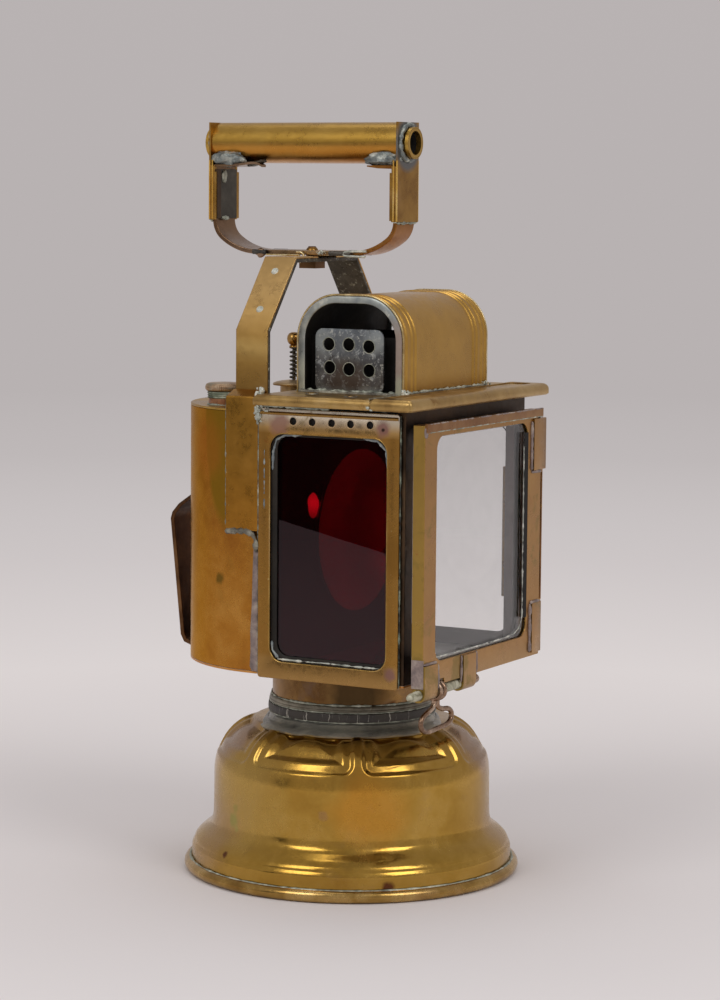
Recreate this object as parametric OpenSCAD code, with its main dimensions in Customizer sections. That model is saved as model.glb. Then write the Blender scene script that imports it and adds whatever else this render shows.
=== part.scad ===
// Acetylene railroad hand lantern: a carbide base with a stamped brass shell, a square
// lamp house with a glazed door, a red window and a clear window, a water tank behind it,
// a draught hood on the roof and a grip that turns on an arch.
// The base stands on z = 0 and its axis is the z axis. The door faces -Y, the red window
// faces -X and the water tank is on the +Y side.

/* [Base] */
// Radius over the rolled rim at the foot
foot_r = 75; // [70:0.5:85]
// Radius of the rolled rim's bead
bead_r = 2.7; // [2:0.1:4]
// Radius of the base's upright wall
base_wall_r = 61.7; // [56:0.1:64]
// Outer radius of the charge cup inside the base
basket_r = 27; // [20:0.5:28]
// Height of the base shell's shoulder, where the collar sits
shoulder_z = 69; // [66:0.5:76]
// Height where the wall starts to turn into the shoulder
wall_top_z = 44; // [40:0.5:48]
// Sheet thickness of the base shell
base_sheet = 1.0; // [0.8:0.1:1.4]
// Number of stamped panels on the shoulder
panel_count = 7; // [5:1:9]
// Depth of each of the two steps of a stamped panel
panel_step = 1.2; // [0.6:0.1:1.5]
// Width of the ridge between two panels, in degrees
panel_ridge = 5; // [4:0.5:14]
// Height where the stamped panels begin
panel_low = 52.6; // [50:0.1:55]
// Height of the ledge of a panel's second step
panel_tier = 60.3; // [58:0.1:63]

/* [Neck] */
// Outer radius of the grey collar on the base
collar_r = 36.8; // [35:0.1:38]
// Height of the collar above the shoulder
collar_h = 2.2; // [1.5:0.1:4]
// Thickness of the rubber gasket
gasket_h = 4.2; // [3:0.1:6]
// Outer radius of the gasket
gasket_r = 37.6; // [36:0.1:39]
// Thickness of the grey flange on the gasket
flange_h = 3.4; // [2:0.1:5]
// Outer radius of the brass neck
neck_r = 35.7; // [33:0.1:36]
// Visible height of the brass neck
neck_h = 15; // [10:0.5:25]
// Outer radius of the spigot that goes into the base
spigot_r = 30; // [26:0.5:31]
// Length of the spigot below the gasket
spigot_len = 13; // [8:0.5:18]
// Radial clearance between spigot and collar
spigot_gap = 0.4; // [0.3:0.05:0.8]

/* [Lamp house] */
// Width of the lamp house over its side walls
house_w = 113; // [104:0.5:120]
// Place of the front wall's outer face
front_y = -56.4; // [-60:0.1:-52]
// Place of the rear wall that parts lamp room and tank
rear_y = 12.6; // [11:0.1:13.4]
// Sheet thickness of the lamp house
sheet = 0.8; // [0.6:0.1:1.2]
// Thickness of the window plates
plate_t = 0.8; // [0.6:0.1:1.2]
// Height of the side window
window_h = 95; // [80:0.5:110]
// Height of the window's lower edge above the floor
sill_h = 9; // [7:0.5:12]
// Height of the vent holes above the window
vent_rise = 6; // [5:0.5:8]
// Height of the roof above the vent holes
vent_drop = 7.5; // [6:0.5:9]
// Margin between a window plate's upright edge and its window
window_margin = 5.8; // [4:0.1:9]
// Corner radius of the windows
window_corner = 6.5; // [3:0.1:9]
// Width of the wall's lip below a window, inside its plate
lip_low = 2.6; // [1:0.1:3]
// Width of the wall's lip above a window
lip_top = 1.2; // [0.5:0.1:2]
// Width of the wall's lip behind a window
lip_rear = 2.8; // [1:0.1:4]
// Thickness of the side panes
pane_t = 2; // [1.5:0.1:3]
// Diameter of the vent holes over the side windows
vent_d = 3.4; // [2.5:0.1:4.5]
// Distance between vent holes
vent_pitch = 9.4; // [7:0.1:11]
// Number of vent holes
vent_count = 5; // [3:1:6]

/* [Door] */
// Width of the door
door_w = 114.8; // [106:0.2:118]
// Height that the door is lower than the house
door_drop = 6.5; // [5:0.5:10]
// Depth of the door frame
door_depth = 5.7; // [4.5:0.1:7]
// Clear distance between the door and the front wall
door_gap = 4; // [3:0.1:6]
// Width of the door's window
door_window_w = 87; // [70:0.5:90]
// Height of the door's frame above and below its window, both together
door_rails = 15.3; // [13:0.1:20]
// Thickness of the door's pane
door_pane_t = 2; // [1.5:0.1:3]
// Radius of the hinge pin
hinge_pin_r = 1.2; // [0.9:0.1:1.6]
// Outer radius of the hinge knuckles
knuckle_r = 2.5; // [2.2:0.1:3]
// Running clearance round the hinge pin
hinge_gap = 0.06; // [0.03:0.01:0.09]
// Radius of the latch rod under the door
latch_rod_r = 2.2; // [1.6:0.1:2.6]
// Radius of the pull ring's wire
ring_wire_r = 1.15; // [0.9:0.05:1.3]

/* [Tank] */
// Length of the tank's straight sides behind the rear wall
tank_straight = 5.5; // [2:0.1:10]
// Height that the tank is lower than the house
tank_drop = 4; // [1:0.5:6]
// Place of the drip valve behind the lamp's axis
valve_y = 31.3; // [29:0.1:40]
// Sideways place of the water filler
filler_x = -36; // [-38:0.5:-28]
// Place of the water filler behind the lamp's axis
filler_y = 45.6; // [42:0.1:46]
// Width of the loop behind the tank
loop_w = 30; // [20:0.5:40]
// Height of the loop behind the tank
loop_h = 70; // [50:0.5:90]
// Thickness of the loop's strap
loop_t = 2; // [1.5:0.1:3]
// Radius of the filler cap
cap_r = 8.5; // [7:0.1:10]
// Bore radius of the filler neck
filler_bore_r = 5.6; // [4:0.1:6.2]

/* [Roof and hood] */
// Width of the roof
roof_w = 131.4; // [124:0.2:136]
// Place of the roof's front edge
roof_front_y = -63.5; // [-66:0.1:-61]
// Place of the roof's rear edge
roof_rear_y = 5; // [0:0.1:9]
// Depth of the roof's turned-down edge
roof_edge_h = 4.6; // [3:0.1:6]
// Place of the hood's centre
hood_y = -19.5; // [-24:0.5:-16]
// Length of the hood along its tunnel
hood_len = 79; // [70:0.5:84]
// Width of the hood
hood_w = 51; // [46:0.5:54]
// Height of the hood above the roof
hood_h = 41.8; // [36:0.1:46]
// Corner radius of the hood's arch
hood_corner = 19; // [12:0.5:24]
// Width of the hood's turned-in end flanges
hood_lip = 3.2; // [2.5:0.1:6]
// Hole diameter in the baffles
baffle_hole_d = 6; // [4:0.1:7]

/* [Handle] */
// Outside length of the grip bow
bow_len = 96.2; // [86:0.2:110]
// Outer radius of the grip tube
grip_r = 9; // [8:0.1:11]
// Height of the grip's axis above the bow's lower strap
grip_rise = 49.3; // [44:0.1:60]
// Width of the limb sleeves
sleeve_w = 19.4; // [17:0.1:22]
// Width of the bow strap
bow_w = 16; // [13:0.1:17]
// Thickness of the bow strap
bow_t = 2; // [1.5:0.1:2.5]
// Radius of the bow's tight bends, where its limbs start
bow_bend = 11; // [8:0.5:13]
// Radius of the bow's wide bends, next to its flat middle
bow_sweep = 31; // [25:0.5:40]
// Height of the bow's bends, tight and wide together
bow_bend_h = 15; // [13.5:0.5:18]
// Place of the arch and the swivel behind the lamp's axis
arch_y = 22.2; // [20:0.1:24]
// Height of the arch above the tank
arch_h = 66.2; // [58:0.1:72]
// Width of the arch strap
arch_w = 16; // [13:0.1:18]
// Radius of the swivel rivet's shank
rivet_r = 2.4; // [2:0.1:3]

/* [Hidden] */
$fn = 64;
far = 200;
seat = 0.02;

collar_top_z = shoulder_z + collar_h;
gasket_top_z = collar_top_z + gasket_h;
flange_top_z = gasket_top_z + flange_h;
floor_z = flange_top_z + neck_h;
house_h = sill_h + window_h + vent_rise + vent_drop;
door_h = house_h - door_drop;
door_window_h = door_h - door_rails;
roof_z = floor_z + house_h;
tank_h = house_h - tank_drop;
tank_top_z = floor_z + tank_h;
tank_front_y = rear_y + sheet + seat;
tank_y = tank_front_y + tank_straight;
tank_r = house_w / 2;
house_x = house_w / 2;
plate_x = house_x + plate_t;
plate_front_y = front_y + 2.2;
plate_rear_y = rear_y + sheet + 1.3;
window_cy = (plate_front_y + plate_rear_y) / 2;
window_w = plate_rear_y - plate_front_y - 2 * window_margin;
window_z = floor_z + sill_h;
vent_z = window_z + window_h + vent_rise;
door_face_y = front_y - door_gap - door_depth;
door_z = floor_z + 0.8;
door_x = door_w / 2;
door_window_x0 = -door_x + 11;
door_window_z0 = door_z + 10;
door_window_corner = 6;
hinge_x = door_x - 0.4;
hinge_y = door_face_y + 3.4;
latch_y = door_face_y + 2.3;
latch_z = door_z - latch_rod_r - 0.8;
arch_top_z = tank_top_z + arch_h;
bow_z = arch_top_z + 0.4;
grip_z = bow_z + grip_rise;
hood_x = hood_len / 2;
roof_top_z = roof_z + roof_edge_h;
roof_sheet = 1;
roof_under_z = roof_top_z - roof_sheet;
bracket_y = plate_rear_y + 0.1 + arch_w / 2;
hood_sheet = 0.9;
hood_bead = 0.6;
hood_foot = 2.2;
hood_foot_t = 0.8;
burner_y = window_cy;
light_z = window_z + window_h / 2;

// An upright rectangle in the x-y plane with round corners, made of exact arcs
module round_rect(w, h, r) {
    square([w - 2 * r, h], center = true);
    square([w, h - 2 * r], center = true);
    for (x = [-1, 1], y = [-1, 1])
        translate([x * (w / 2 - r), y * (h / 2 - r)]) circle(r);
}

// A block with its lowest corner and its highest corner given
module span(low, high) {
    translate(low) cube(high - low);
}

// Extrudes a y-z outline along x, from x0 to x1
module along_x(x0, x1) {
    translate([x0, 0, 0]) rotate([90, 0, 90]) linear_extrude(x1 - x0) children();
}

// Extrudes an x-z outline along y, from y0 to y1
module along_y(y0, y1) {
    translate([0, y1, 0]) rotate([90, 0, 0]) linear_extrude(y1 - y0) children();
}

// The base shell's outline, w inside its outer face
module base_outline(w) {
    step = foot_r - bead_r - 0.8;
    tread = step - base_wall_r;
    foot_line = [[0, 13.4, 0], [0.05, 14.8, 0], [0.11, 17.4, 0.1], [0.255, 19.6, 0.4],
                 [0.41, 21.2, 0.6], [0.58, 22.5, 0.8], [0.765, 23.9, 0.9], [0.88, 25.2, 0.9], [1, 28.5, 0]];
    polygon(concat(
        [[0, -1], [step - w, -1]],
        [for (p = foot_line) [step - tread * p[0] - w, p[1] - p[2] * w]],
        [[base_wall_r - w, wall_top_z], [0, wall_top_z]]));
    shoulder_outline(w, 0);
}

// The shoulder's outline from the wall's top to the collar, sunk by drop
module shoulder_outline(w, drop) {
    top = shoulder_z - drop;
    r = base_wall_r - drop;
    rise = top - wall_top_z;
    curve = 21;
    points = [for (a = [0:7.5:90])
        [r - curve + curve * cos(a) - w * cos(a),
         wall_top_z + rise * sin(a) - w * sin(a)]];
    polygon(concat([[0, wall_top_z - 3]], [[r - w, wall_top_z - 3]], points, [[0, top - w]]));
}

// What a stamped panel takes off the shoulder: two steps, each one narrower and deeper
module panel_cut(w) {
    sector = 360 / panel_count;
    spread = w * 1.2;
    for (level = [1, 2]) {
        half = (sector - panel_ridge) / 2 - (level - 1) * 3.5 + spread;
        low = (level == 1 ? panel_low : panel_tier) - w;
        high = shoulder_z + 1;
        for (k = [0:panel_count - 1])
            rotate([0, 0, panel_turn + k * sector - half])
                rotate_extrude(angle = 2 * half)
                    difference() {
                        translate([collar_r + 0.3 + level * 0.6 - w, low])
                            square([40, high - low]);
                        shoulder_outline(w, panel_step * level);
                    }
    }
}
panel_turn = 32;

module base_form(w) {
    difference() {
        rotate_extrude($fn = 120) base_outline(w);
        panel_cut(w);
    }
}

// The collar's hole in the shoulder
collar_bore_r = spigot_r + spigot_gap;
collar_sleeve_r = collar_bore_r + 2;

module base_shell() {
    color("darkgoldenrod")
    difference() {
        base_form(0);
        base_form(base_sheet);
        translate([0, 0, -2]) cylinder(h = bead_r * 2 + 2, r = far);
        cylinder(h = far, r = collar_sleeve_r + seat, $fn = 120);
    }
}

module base_pan() {
    rim_r = foot_r - bead_r;
    color("goldenrod") {
        rotate_extrude($fn = 120) {
            difference() {
                translate([rim_r, bead_r]) circle(bead_r);
                translate([rim_r - 1.2, bead_r]) circle(bead_r - 1.4);
            }
            square([rim_r - 0.6, pan_t]);
            translate([rim_r - 3.4, 0]) square([1, 2 * bead_r - 0.4]);
        }
    }
}

module base_collar() {
    color("slategray")
    rotate_extrude($fn = 120) {
        translate([collar_bore_r, shoulder_z]) square([collar_r - collar_bore_r, collar_h]);
        translate([collar_bore_r, shoulder_z - 12])
            square([collar_sleeve_r - collar_bore_r, 12 + collar_h / 2]);
    }
}

// The charge cup stands on the bottom pan on three feet
module carbide_basket() {
    low = pan_t + 2.8;
    top = collar_top_z - spigot_len - basket_gap;
    color("silver")
    difference() {
        translate([0, 0, low]) cylinder(h = top - low, r = basket_r);
        translate([0, 0, low + 1]) cylinder(h = top, r = basket_r - 1);
    }
    color("silver")
    for (k = [0:2])
        rotate([0, 0, 30 + k * 120])
            span([basket_r - 0.5, -3, pan_t + seat], [basket_r + 2, 3, low + 16]);
}
pan_t = 1.2;
basket_gap = 2.2;

module gasket() {
    color("dimgray")
    translate([0, 0, collar_top_z + seat]) difference() {
        cylinder(h = gasket_h - 2 * seat, r = gasket_r, $fn = 120);
        translate([0, 0, -1]) cylinder(h = gasket_h + 2, r = collar_bore_r, $fn = 120);
    }
}

module neck_flange() {
    color("slategray")
    difference() {
        union() {
            translate([0, 0, gasket_top_z]) cylinder(h = flange_h, r = gasket_r - 0.4, $fn = 120);
            translate([0, 0, collar_top_z - spigot_len])
                cylinder(h = spigot_len + gasket_h + 1, r = spigot_r, $fn = 120);
        }
        translate([0, 0, collar_top_z - spigot_len - 1])
            cylinder(h = far, r = spigot_r - 2, $fn = 120);
    }
}

module neck_tube() {
    color("goldenrod")
    translate([0, 0, flange_top_z + seat]) difference() {
        cylinder(h = neck_h - 2 * seat, r = neck_r, $fn = 120);
        translate([0, 0, -1]) cylinder(h = neck_h + 2, r = neck_r - 1.2, $fn = 120);
    }
}

// The house floor closes the lamp room and the tank in one D-shaped sheet
module house_floor() {
    color("gray")
    translate([0, 0, floor_z]) difference() {
        linear_extrude(1) {
            translate([-house_x, front_y]) square([house_w, tank_y - front_y]);
            tank_plan(0);
        }
        translate([0, 0, -1]) linear_extrude(3) {
            translate([0, burner_y]) circle(burner_tube_r + seat);
            translate([0, drip_y]) circle(drip_r + seat);
        }
    }
}
burner_tube_r = 4;
drip_r = 2;
drip_y = 20;

module front_frame() {
    z0 = floor_z + 1 + seat;
    z1 = roof_under_z - seat;
    color("saddlebrown")
    difference() {
        span([-house_x, front_y, z0], [house_x, front_y + sheet, z1]);
        translate([0, 0, light_z]) along_y(front_y - 1, front_y + 5)
            round_rect(house_w - 14, window_h + 6, 4);
    }
    for (s = [-1, 1])
        span([s < 0 ? -house_x : house_x - sheet, front_y + sheet, z0],
             [s < 0 ? -house_x + sheet : house_x, front_y + 4, z1]);
}

// The opening in a wall that the glass lies behind
module window_hole(x0, x1) {
    translate([0, window_cy - lip_rear / 2, light_z]) along_x(x0, x1)
        round_rect(window_w - lip_rear, window_h, window_corner - 1);
}

// The plate's opening, larger by the lip that the wall shows inside it
module plate_hole(x0, x1) {
    translate([0, window_cy, light_z + (lip_top - lip_low) / 2]) along_x(x0, x1)
        round_rect(window_w, window_h + lip_top + lip_low, window_corner);
}

module side_wall(s) {
    z0 = floor_z + 1 + seat;
    z1 = roof_under_z - seat;
    x0 = s < 0 ? -house_x : house_x - sheet;
    difference() {
        span([x0, front_y + 4 + seat, z0], [x0 + sheet, rear_y + sheet, z1]);
        window_hole(x0 - 1, x0 + 3);
        vents(x0 - 1, x0 + 3, 0.6);
    }
}

module vents(x0, x1, grow) {
    for (k = [0:vent_count - 1])
        translate([x0, window_cy + (k - (vent_count - 1) / 2) * vent_pitch, vent_z])
            rotate([0, 90, 0]) cylinder(h = x1 - x0, d = vent_d + 2 * grow, $fn = 24);
}

module left_wall() {
    color("peru") side_wall(-1);
}

module right_wall() {
    color("peru") side_wall(1);
}

module window_plate(s) {
    x0 = s < 0 ? -plate_x : house_x + seat;
    x1 = x0 + plate_t - seat;
    difference() {
        union() {
            span([x0, plate_front_y, floor_z - 1], [x1, plate_rear_y, roof_z - 1.5]);
            translate([s * plate_x, window_cy, roof_z - 3.6]) rotate([90, 0, 0])
                cylinder(h = window_w + 4, r = 0.8, center = true, $fn = 24);
        }
        plate_hole(x0 - 2, x1 + 2);
        vents(x0 - 2, x1 + 2, 0);
    }
}

module left_window_plate() {
    color("darkkhaki") window_plate(-1);
}

module right_window_plate() {
    color("darkkhaki") window_plate(1);
}

module side_pane(s) {
    gap = 0.1;
    x0 = s < 0 ? -house_x + sheet + gap : house_x - sheet - gap - pane_t;
    span([x0, window_cy - window_w / 2 - 2.5, window_z - 2.5],
         [x0 + pane_t, window_cy + window_w / 2 + 2.5, window_z + window_h + 2.5]);
}

module red_glass() {
    color([0.5, 0, 0.05, 0.7]) side_pane(-1);
}

module clear_glass() {
    color([0.85, 0.9, 0.9, 0.3]) side_pane(1);
}

// Two upright channels that hold a side pane against its wall
module glass_clips(s) {
    z0 = floor_z + 1 + seat;
    inner = house_x - sheet - seat;
    back = house_x - sheet - pane_t - 0.3;
    for (side = [-1, 1]) {
        edge = window_cy + side * (window_w / 2 + 2.6);
        far_y = edge + side * 1.0;
        near_y = edge - side * 3.4;
        x_low = s < 0 ? -inner : back - 0.8;
        x_high = s < 0 ? -back + 0.8 : inner;
        span([x_low, min(edge, far_y), z0], [x_high, max(edge, far_y), window_z + window_h + 2]);
        span([s < 0 ? -back : back - 0.8, min(near_y, far_y), z0],
             [s < 0 ? -back + 0.8 : back, max(near_y, far_y), window_z + window_h + 2]);
    }
}

module left_glass_clips() {
    color("dimgray") glass_clips(-1);
}

module right_glass_clips() {
    color("dimgray") glass_clips(1);
}

module rear_wall() {
    color("gray")
    span([-house_x + sheet + seat, rear_y, floor_z + 1 + seat],
         [house_x - sheet - seat, rear_y + sheet, roof_under_z - seat]);
}

// The tank's D-shaped plan, w inside its outer face
module tank_plan(w) {
    translate([-tank_r + w, tank_front_y - (w > 0 ? 0.5 : 0)])
        square([2 * (tank_r - w), tank_straight + (w > 0 ? 0.5 : 0)]);
    intersection() {
        translate([0, tank_y]) circle(tank_r - w, $fn = 120);
        translate([-far / 2, tank_y]) square([far, far]);
    }
}

module tank_shell() {
    z0 = floor_z + 1 + seat;
    color("darkorange")
    translate([0, 0, z0]) linear_extrude(tank_h - 1 - 2 * seat) difference() {
        tank_plan(0);
        tank_plan(sheet);
        translate([-far / 2, tank_front_y - 1]) square([far, 1]);
    }
}

module tank_lid() {
    color("darkorange")
    translate([0, 0, tank_top_z]) difference() {
        linear_extrude(1) tank_plan(0);
        translate([filler_x, filler_y, -1]) cylinder(h = 3, r = filler_bore_r + 0.8);
        translate([0, valve_y, -1]) cylinder(h = 3, r = 3);
    }
}
lid_top_z = tank_top_z + 1;

module filler_neck() {
    color("rosybrown")
    translate([filler_x, filler_y, 0]) difference() {
        union() {
            translate([0, 0, lid_top_z]) cylinder(h = 5, r = filler_bore_r + 1.2);
            translate([0, 0, tank_top_z - 2]) cylinder(h = 4, r = filler_bore_r + 0.75);
        }
        translate([0, 0, tank_top_z - 3]) cylinder(h = 12, r = filler_bore_r);
    }
}

module filler_cap() {
    z0 = lid_top_z + 5 + 1.2;
    plug_r = filler_bore_r - 0.06;
    knurls = 32;
    color("rosybrown")
    translate([filler_x, filler_y, 0]) {
        difference() {
            translate([0, 0, z0]) cylinder(h = 3.6, r = cap_r);
            for (k = [0:knurls - 1])
                rotate([0, 0, k * 360 / knurls]) translate([cap_r + 0.2, 0, z0 - 1])
                    cylinder(h = 6, r = 0.5, $fn = 16);
        }
        translate([0, 0, z0 - 1.2 + seat]) cylinder(h = 1.3, r = filler_bore_r + 1.4);
        translate([0, 0, z0 - 3.6]) cylinder(h = 3.7, r = plug_r);
    }
}

// The boss under the valve knob: a low dome on a tube that goes down through the tank
module valve_boss() {
    stem_bore = 0.8;
    color("tan")
    translate([0, valve_y, 0]) difference() {
        union() {
            translate([0, 0, lid_top_z]) cylinder(h = 7.4, r = 6);
            translate([0, 0, lid_top_z + 7.2]) cylinder(h = 1.2, r = 9.5);
            translate([0, 0, lid_top_z + 8.3]) cylinder(h = 1.2, r1 = 9.5, r2 = 4, $fn = 48);
            translate([0, 0, drip_elbow_z + 3]) cylinder(h = lid_top_z - drip_elbow_z - 2, r = 2.9);
        }
        translate([0, 0, floor_z]) cylinder(h = far, r = stem_bore);
    }
}
boss_top_z = lid_top_z + 9.5;
stem_r = 0.74;
knob_r = 3.2;
spring_len = 14;
spring_wire_r = 0.42;
spring_r = 1.62;
spring_curls = 7;

module valve_stem() {
    knob_z = boss_top_z + spring_len + 3.2;
    color("goldenrod")
    translate([0, valve_y, 0]) {
        translate([0, 0, boss_top_z - 12]) cylinder(h = spring_len + 14, r = stem_r, $fn = 24);
        translate([0, 0, boss_top_z + spring_len + seat]) cylinder(h = 1.6, r = 2.2, $fn = 24);
        translate([0, 0, knob_z + 1]) sphere(knob_r, $fn = 40);
    }
}

// Points of the spring's centre line: one straight wire length, the curls, one straight length
function spring_point(t) =
    let (lead = 2 * spring_wire_r,
         body = spring_len - 2 * lead,
         u = (t - 1) / (spring_curls * 8))
    t <= 0 ? [spring_r, 0, 0] :
    t >= spring_curls * 8 + 2 ? [spring_r, 0, spring_len] :
    [spring_r * cos(360 * spring_curls * u), spring_r * sin(360 * spring_curls * u), lead + body * u];

spring_path = [for (t = [0:spring_curls * 8 + 2]) spring_point(t)];

function unit(v) = v / norm(v);

// Rings of six points square to the path, joined into one closed tube
module tube_on(path, r, sides) {
    last = len(path) - 1;
    dirs = [for (i = [0:last])
        i == 0 || i == last ? [0, 0, 1] : unit(path[i + 1] - path[i - 1])];
    points = [for (i = [0:last])
        let (d = dirs[i], out = unit([path[i][0], path[i][1], 0]),
             a = unit(out - d * (out * d)), b = cross(d, a))
        for (k = [0:sides - 1])
            path[i] + r * (cos(360 * k / sides) * a + sin(360 * k / sides) * b)];
    walls = [for (i = [0:last - 1], k = [0:sides - 1])
        let (n = (k + 1) % sides, p = i * sides, q = (i + 1) * sides)
        each [[p + k, q + k, q + n], [p + k, q + n, p + n]]];
    first_cap = [for (k = [1:sides - 2]) [0, k, k + 1]];
    last_cap = [for (k = [1:sides - 2]) [last * sides, last * sides + k + 1, last * sides + k]];
    polyhedron(points, concat(walls, first_cap, last_cap), convexity = 10);
}

// Least distance between wire surfaces of neighbouring curls
spring_self_gap = min([for (i = [0:len(spring_path) - 1], j = [0:len(spring_path) - 1])
    if (j >= i + 5) norm(spring_path[i] - spring_path[j])]) - 2 * spring_wire_r;
echo(spring_self_gap = spring_self_gap);

module valve_spring() {
    color("gray")
    translate([0, valve_y, boss_top_z + seat])
        scale([1, 1, (spring_len - 2 * seat) / spring_len]) tube_on(spring_path, spring_wire_r, 6);
}

drip_elbow_z = floor_z + 6;

// The tube that leads water from the valve down into the base
module drip_tube() {
    bore = drip_r - 0.8;
    color("gray")
    difference() {
        union() {
            translate([0, drip_y, collar_top_z - 6]) cylinder(h = drip_elbow_z + drip_r - collar_top_z + 6, r = drip_r);
            translate([0, valve_y + drip_r, drip_elbow_z]) rotate([90, 0, 0])
                cylinder(h = valve_y - drip_y + drip_r, r = drip_r);
            translate([0, valve_y, drip_elbow_z]) cylinder(h = 3 - seat, r = drip_r * 0.9);
        }
        translate([0, drip_y, collar_top_z - 7]) cylinder(h = drip_elbow_z - collar_top_z + 7, r = bore);
        translate([0, valve_y, drip_elbow_z]) rotate([90, 0, 0]) cylinder(h = valve_y - drip_y, r = bore * 0.96);
        translate([0, valve_y, drip_elbow_z]) cylinder(h = 4, r = bore * 0.92);
    }
}

module burner_tube() {
    color("gray")
    translate([0, burner_y, 0]) difference() {
        union() {
            translate([0, 0, floor_z - 6]) cylinder(h = 8, r = burner_tube_r);
            translate([0, 0, floor_z + 1]) cylinder(h = 3, r = 7);
            translate([0, 0, floor_z + 2]) cylinder(h = light_z - 18 - floor_z, r = 3);
        }
        translate([0, 0, floor_z - 7]) cylinder(h = far, r = 1.6);
    }
}

// The ceramic tip with its two arms
module burner_tip() {
    z0 = light_z - 16;
    color("ivory")
    translate([0, burner_y, 0]) {
        translate([0, 0, z0 + seat]) cylinder(h = 5, r1 = 2.8, r2 = 2.4, $fn = 48);
        for (s = [-1, 1])
            translate([0, 0, z0 + 4]) rotate([0, s * 38, 0]) cylinder(h = 9, r = 1.4);
    }
}

dish_rise = 5;

// A concave mirror on the rear wall, with a short stub behind it
module reflector() {
    dish_r = 38;
    depth = 14;
    sphere_r = (dish_r * dish_r + depth * depth) / (2 * depth);
    rim_y = rear_y - 2.5 - depth;
    color("silver")
    translate([0, rim_y, light_z + dish_rise]) rotate([-90, 0, 0]) {
        difference() {
            intersection() {
                translate([0, 0, depth - sphere_r]) sphere(sphere_r + 0.8, $fn = 120);
                cylinder(h = depth + 2, r = dish_r + 0.8, $fn = 120);
            }
            translate([0, 0, depth - sphere_r]) sphere(sphere_r, $fn = 120);
        }
        translate([0, 0, depth + 0.5]) cylinder(h = 2 - seat, r = 6);
    }
}

module roof_plate() {
    w = roof_w / 2;
    hole_w = hood_len - 16;
    hole_d = hood_w - 16;
    color("peru")
    difference() {
        union() {
            span([-w, roof_front_y, roof_z], [w, roof_rear_y, roof_top_z]);
            span([-house_x, roof_rear_y - 2, roof_under_z], [house_x, tank_front_y - seat, roof_top_z]);
        }
        span([-w + 1, roof_front_y + 1, roof_z - 1], [w - 1, roof_rear_y - 1, roof_under_z]);
        span([-house_x - seat, roof_rear_y - 2, roof_z - 1], [house_x + seat, roof_rear_y + 2, roof_under_z]);
        translate([-hole_w / 2, hood_y - hole_d / 2, roof_z]) cube([hole_w, hole_d, 10]);
    }
}

// A folded cap over the roof's front, cut round the hood's foot
module roof_front_cap() {
    w = roof_w / 2;
    foot = hood_foot + 0.1;
    color("peru")
    difference() {
        span([-w - 0.6, roof_front_y - 0.6, roof_z + 0.4], [w + 0.6, roof_front_y + 20, roof_top_z + 0.6]);
        span([-w - seat, roof_front_y - seat, roof_z - 1], [w + seat, roof_front_y + 21, roof_top_z + seat]);
        hood_space(hood_bead + 0.1);
        translate([0, hood_y, roof_top_z])
            cube([hood_len + 2 * foot, hood_w + 2 * foot, 10], center = true);
    }
}

// The hood's outline in the y-z plane
module hood_outline(w) {
    half = hood_w / 2 - w;
    r = hood_corner - w;
    top = hood_h - w;
    difference() {
        union() {
            translate([-half, 0]) square([2 * half, top - r]);
            translate([-half + r, 0]) square([2 * (half - r), top]);
            for (s = [-1, 1]) translate([s * (half - r), top - r]) circle(r);
        }
        translate([-far / 2, -far]) square([far, far]);
    }
}

module hood_space(grow) {
    translate([0, hood_y, roof_top_z]) along_x(-hood_x - grow, hood_x + grow) hood_outline(-grow);
}

module hood() {
    bead_places = [4.4, 9.2, 12.6];
    color("goldenrod")
    translate([0, hood_y, roof_top_z + seat]) {
        difference() {
            union() {
                along_x(-hood_x, hood_x) hood_outline(0);
                for (s = [-1, 1], p = bead_places)
                    along_x(s * (hood_x - p) - 1, s * (hood_x - p) + 1) hood_outline(-hood_bead);
                linear_extrude(hood_foot_t)
                    square([hood_len + 2 * hood_foot, hood_w + 2 * hood_foot], center = true);
            }
            along_x(-hood_x + hood_sheet, hood_x - hood_sheet) hood_outline(hood_sheet);
            translate([0, 0, -0.01]) along_x(-far, far) hood_outline(hood_lip);
        }
    }
}

// Two perforated plates inside the hood that keep the wind out
module baffles() {
    plate_w = 33;
    plate_h = 28;
    r = 4;
    t = 1;
    color("lightslategray")
    for (s = [-1, 1])
        translate([s * (hood_x - 6.5), hood_y + 2, roof_top_z + seat]) {
            difference() {
                union() {
                    along_x(-t / 2, t / 2) {
                        translate([-plate_w / 2, 0]) square([plate_w, plate_h - r]);
                        translate([-plate_w / 2 + r, 0]) square([plate_w - 2 * r, plate_h]);
                        for (q = [-1, 1]) translate([q * (plate_w / 2 - r), plate_h - r]) circle(r);
                    }
                    span([min(0, s * 6), -plate_w / 2, 0], [max(0, s * 6), plate_w / 2, t]);
                }
                for (row = [0, 1], col = [-1:1])
                    translate([-3, col * 9.8, 9.3 + row * 10.4]) rotate([0, 90, 0])
                        cylinder(h = 6, d = baffle_hole_d, $fn = 32);
            }
        }
}

arch_x = 51.5;
arch_shoulder_x = 27.4;
arch_knee_drop = 31;
skin_t = 0.9;
strap_t = 1.6;
arch_slope = atan2(arch_x - arch_shoulder_x, arch_knee_drop);

// One half of the arch's line in the x-z plane, w inside its outer face
function arch_line(w, foot_z) = [
    [arch_x - w, foot_z],
    [arch_x - w, arch_top_z - arch_knee_drop - w * tan(arch_slope / 2)],
    [arch_shoulder_x - w * tan(45 - arch_slope / 2), arch_top_z - w]
];

function mirrored(points) = [for (i = [len(points) - 1:-1:0]) [-points[i][0], points[i][1]]];

// The arch's outline: upright feet, slanted shoulders, flat top
module arch_outline(outer, inner, foot_z) {
    in_line = arch_line(inner, foot_z);
    polygon(concat(arch_line(outer, foot_z), mirrored(arch_line(outer, foot_z)),
                   [for (p = in_line) [-p[0], p[1]]], mirrored([for (p = in_line) [-p[0], p[1]]])));
}

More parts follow.
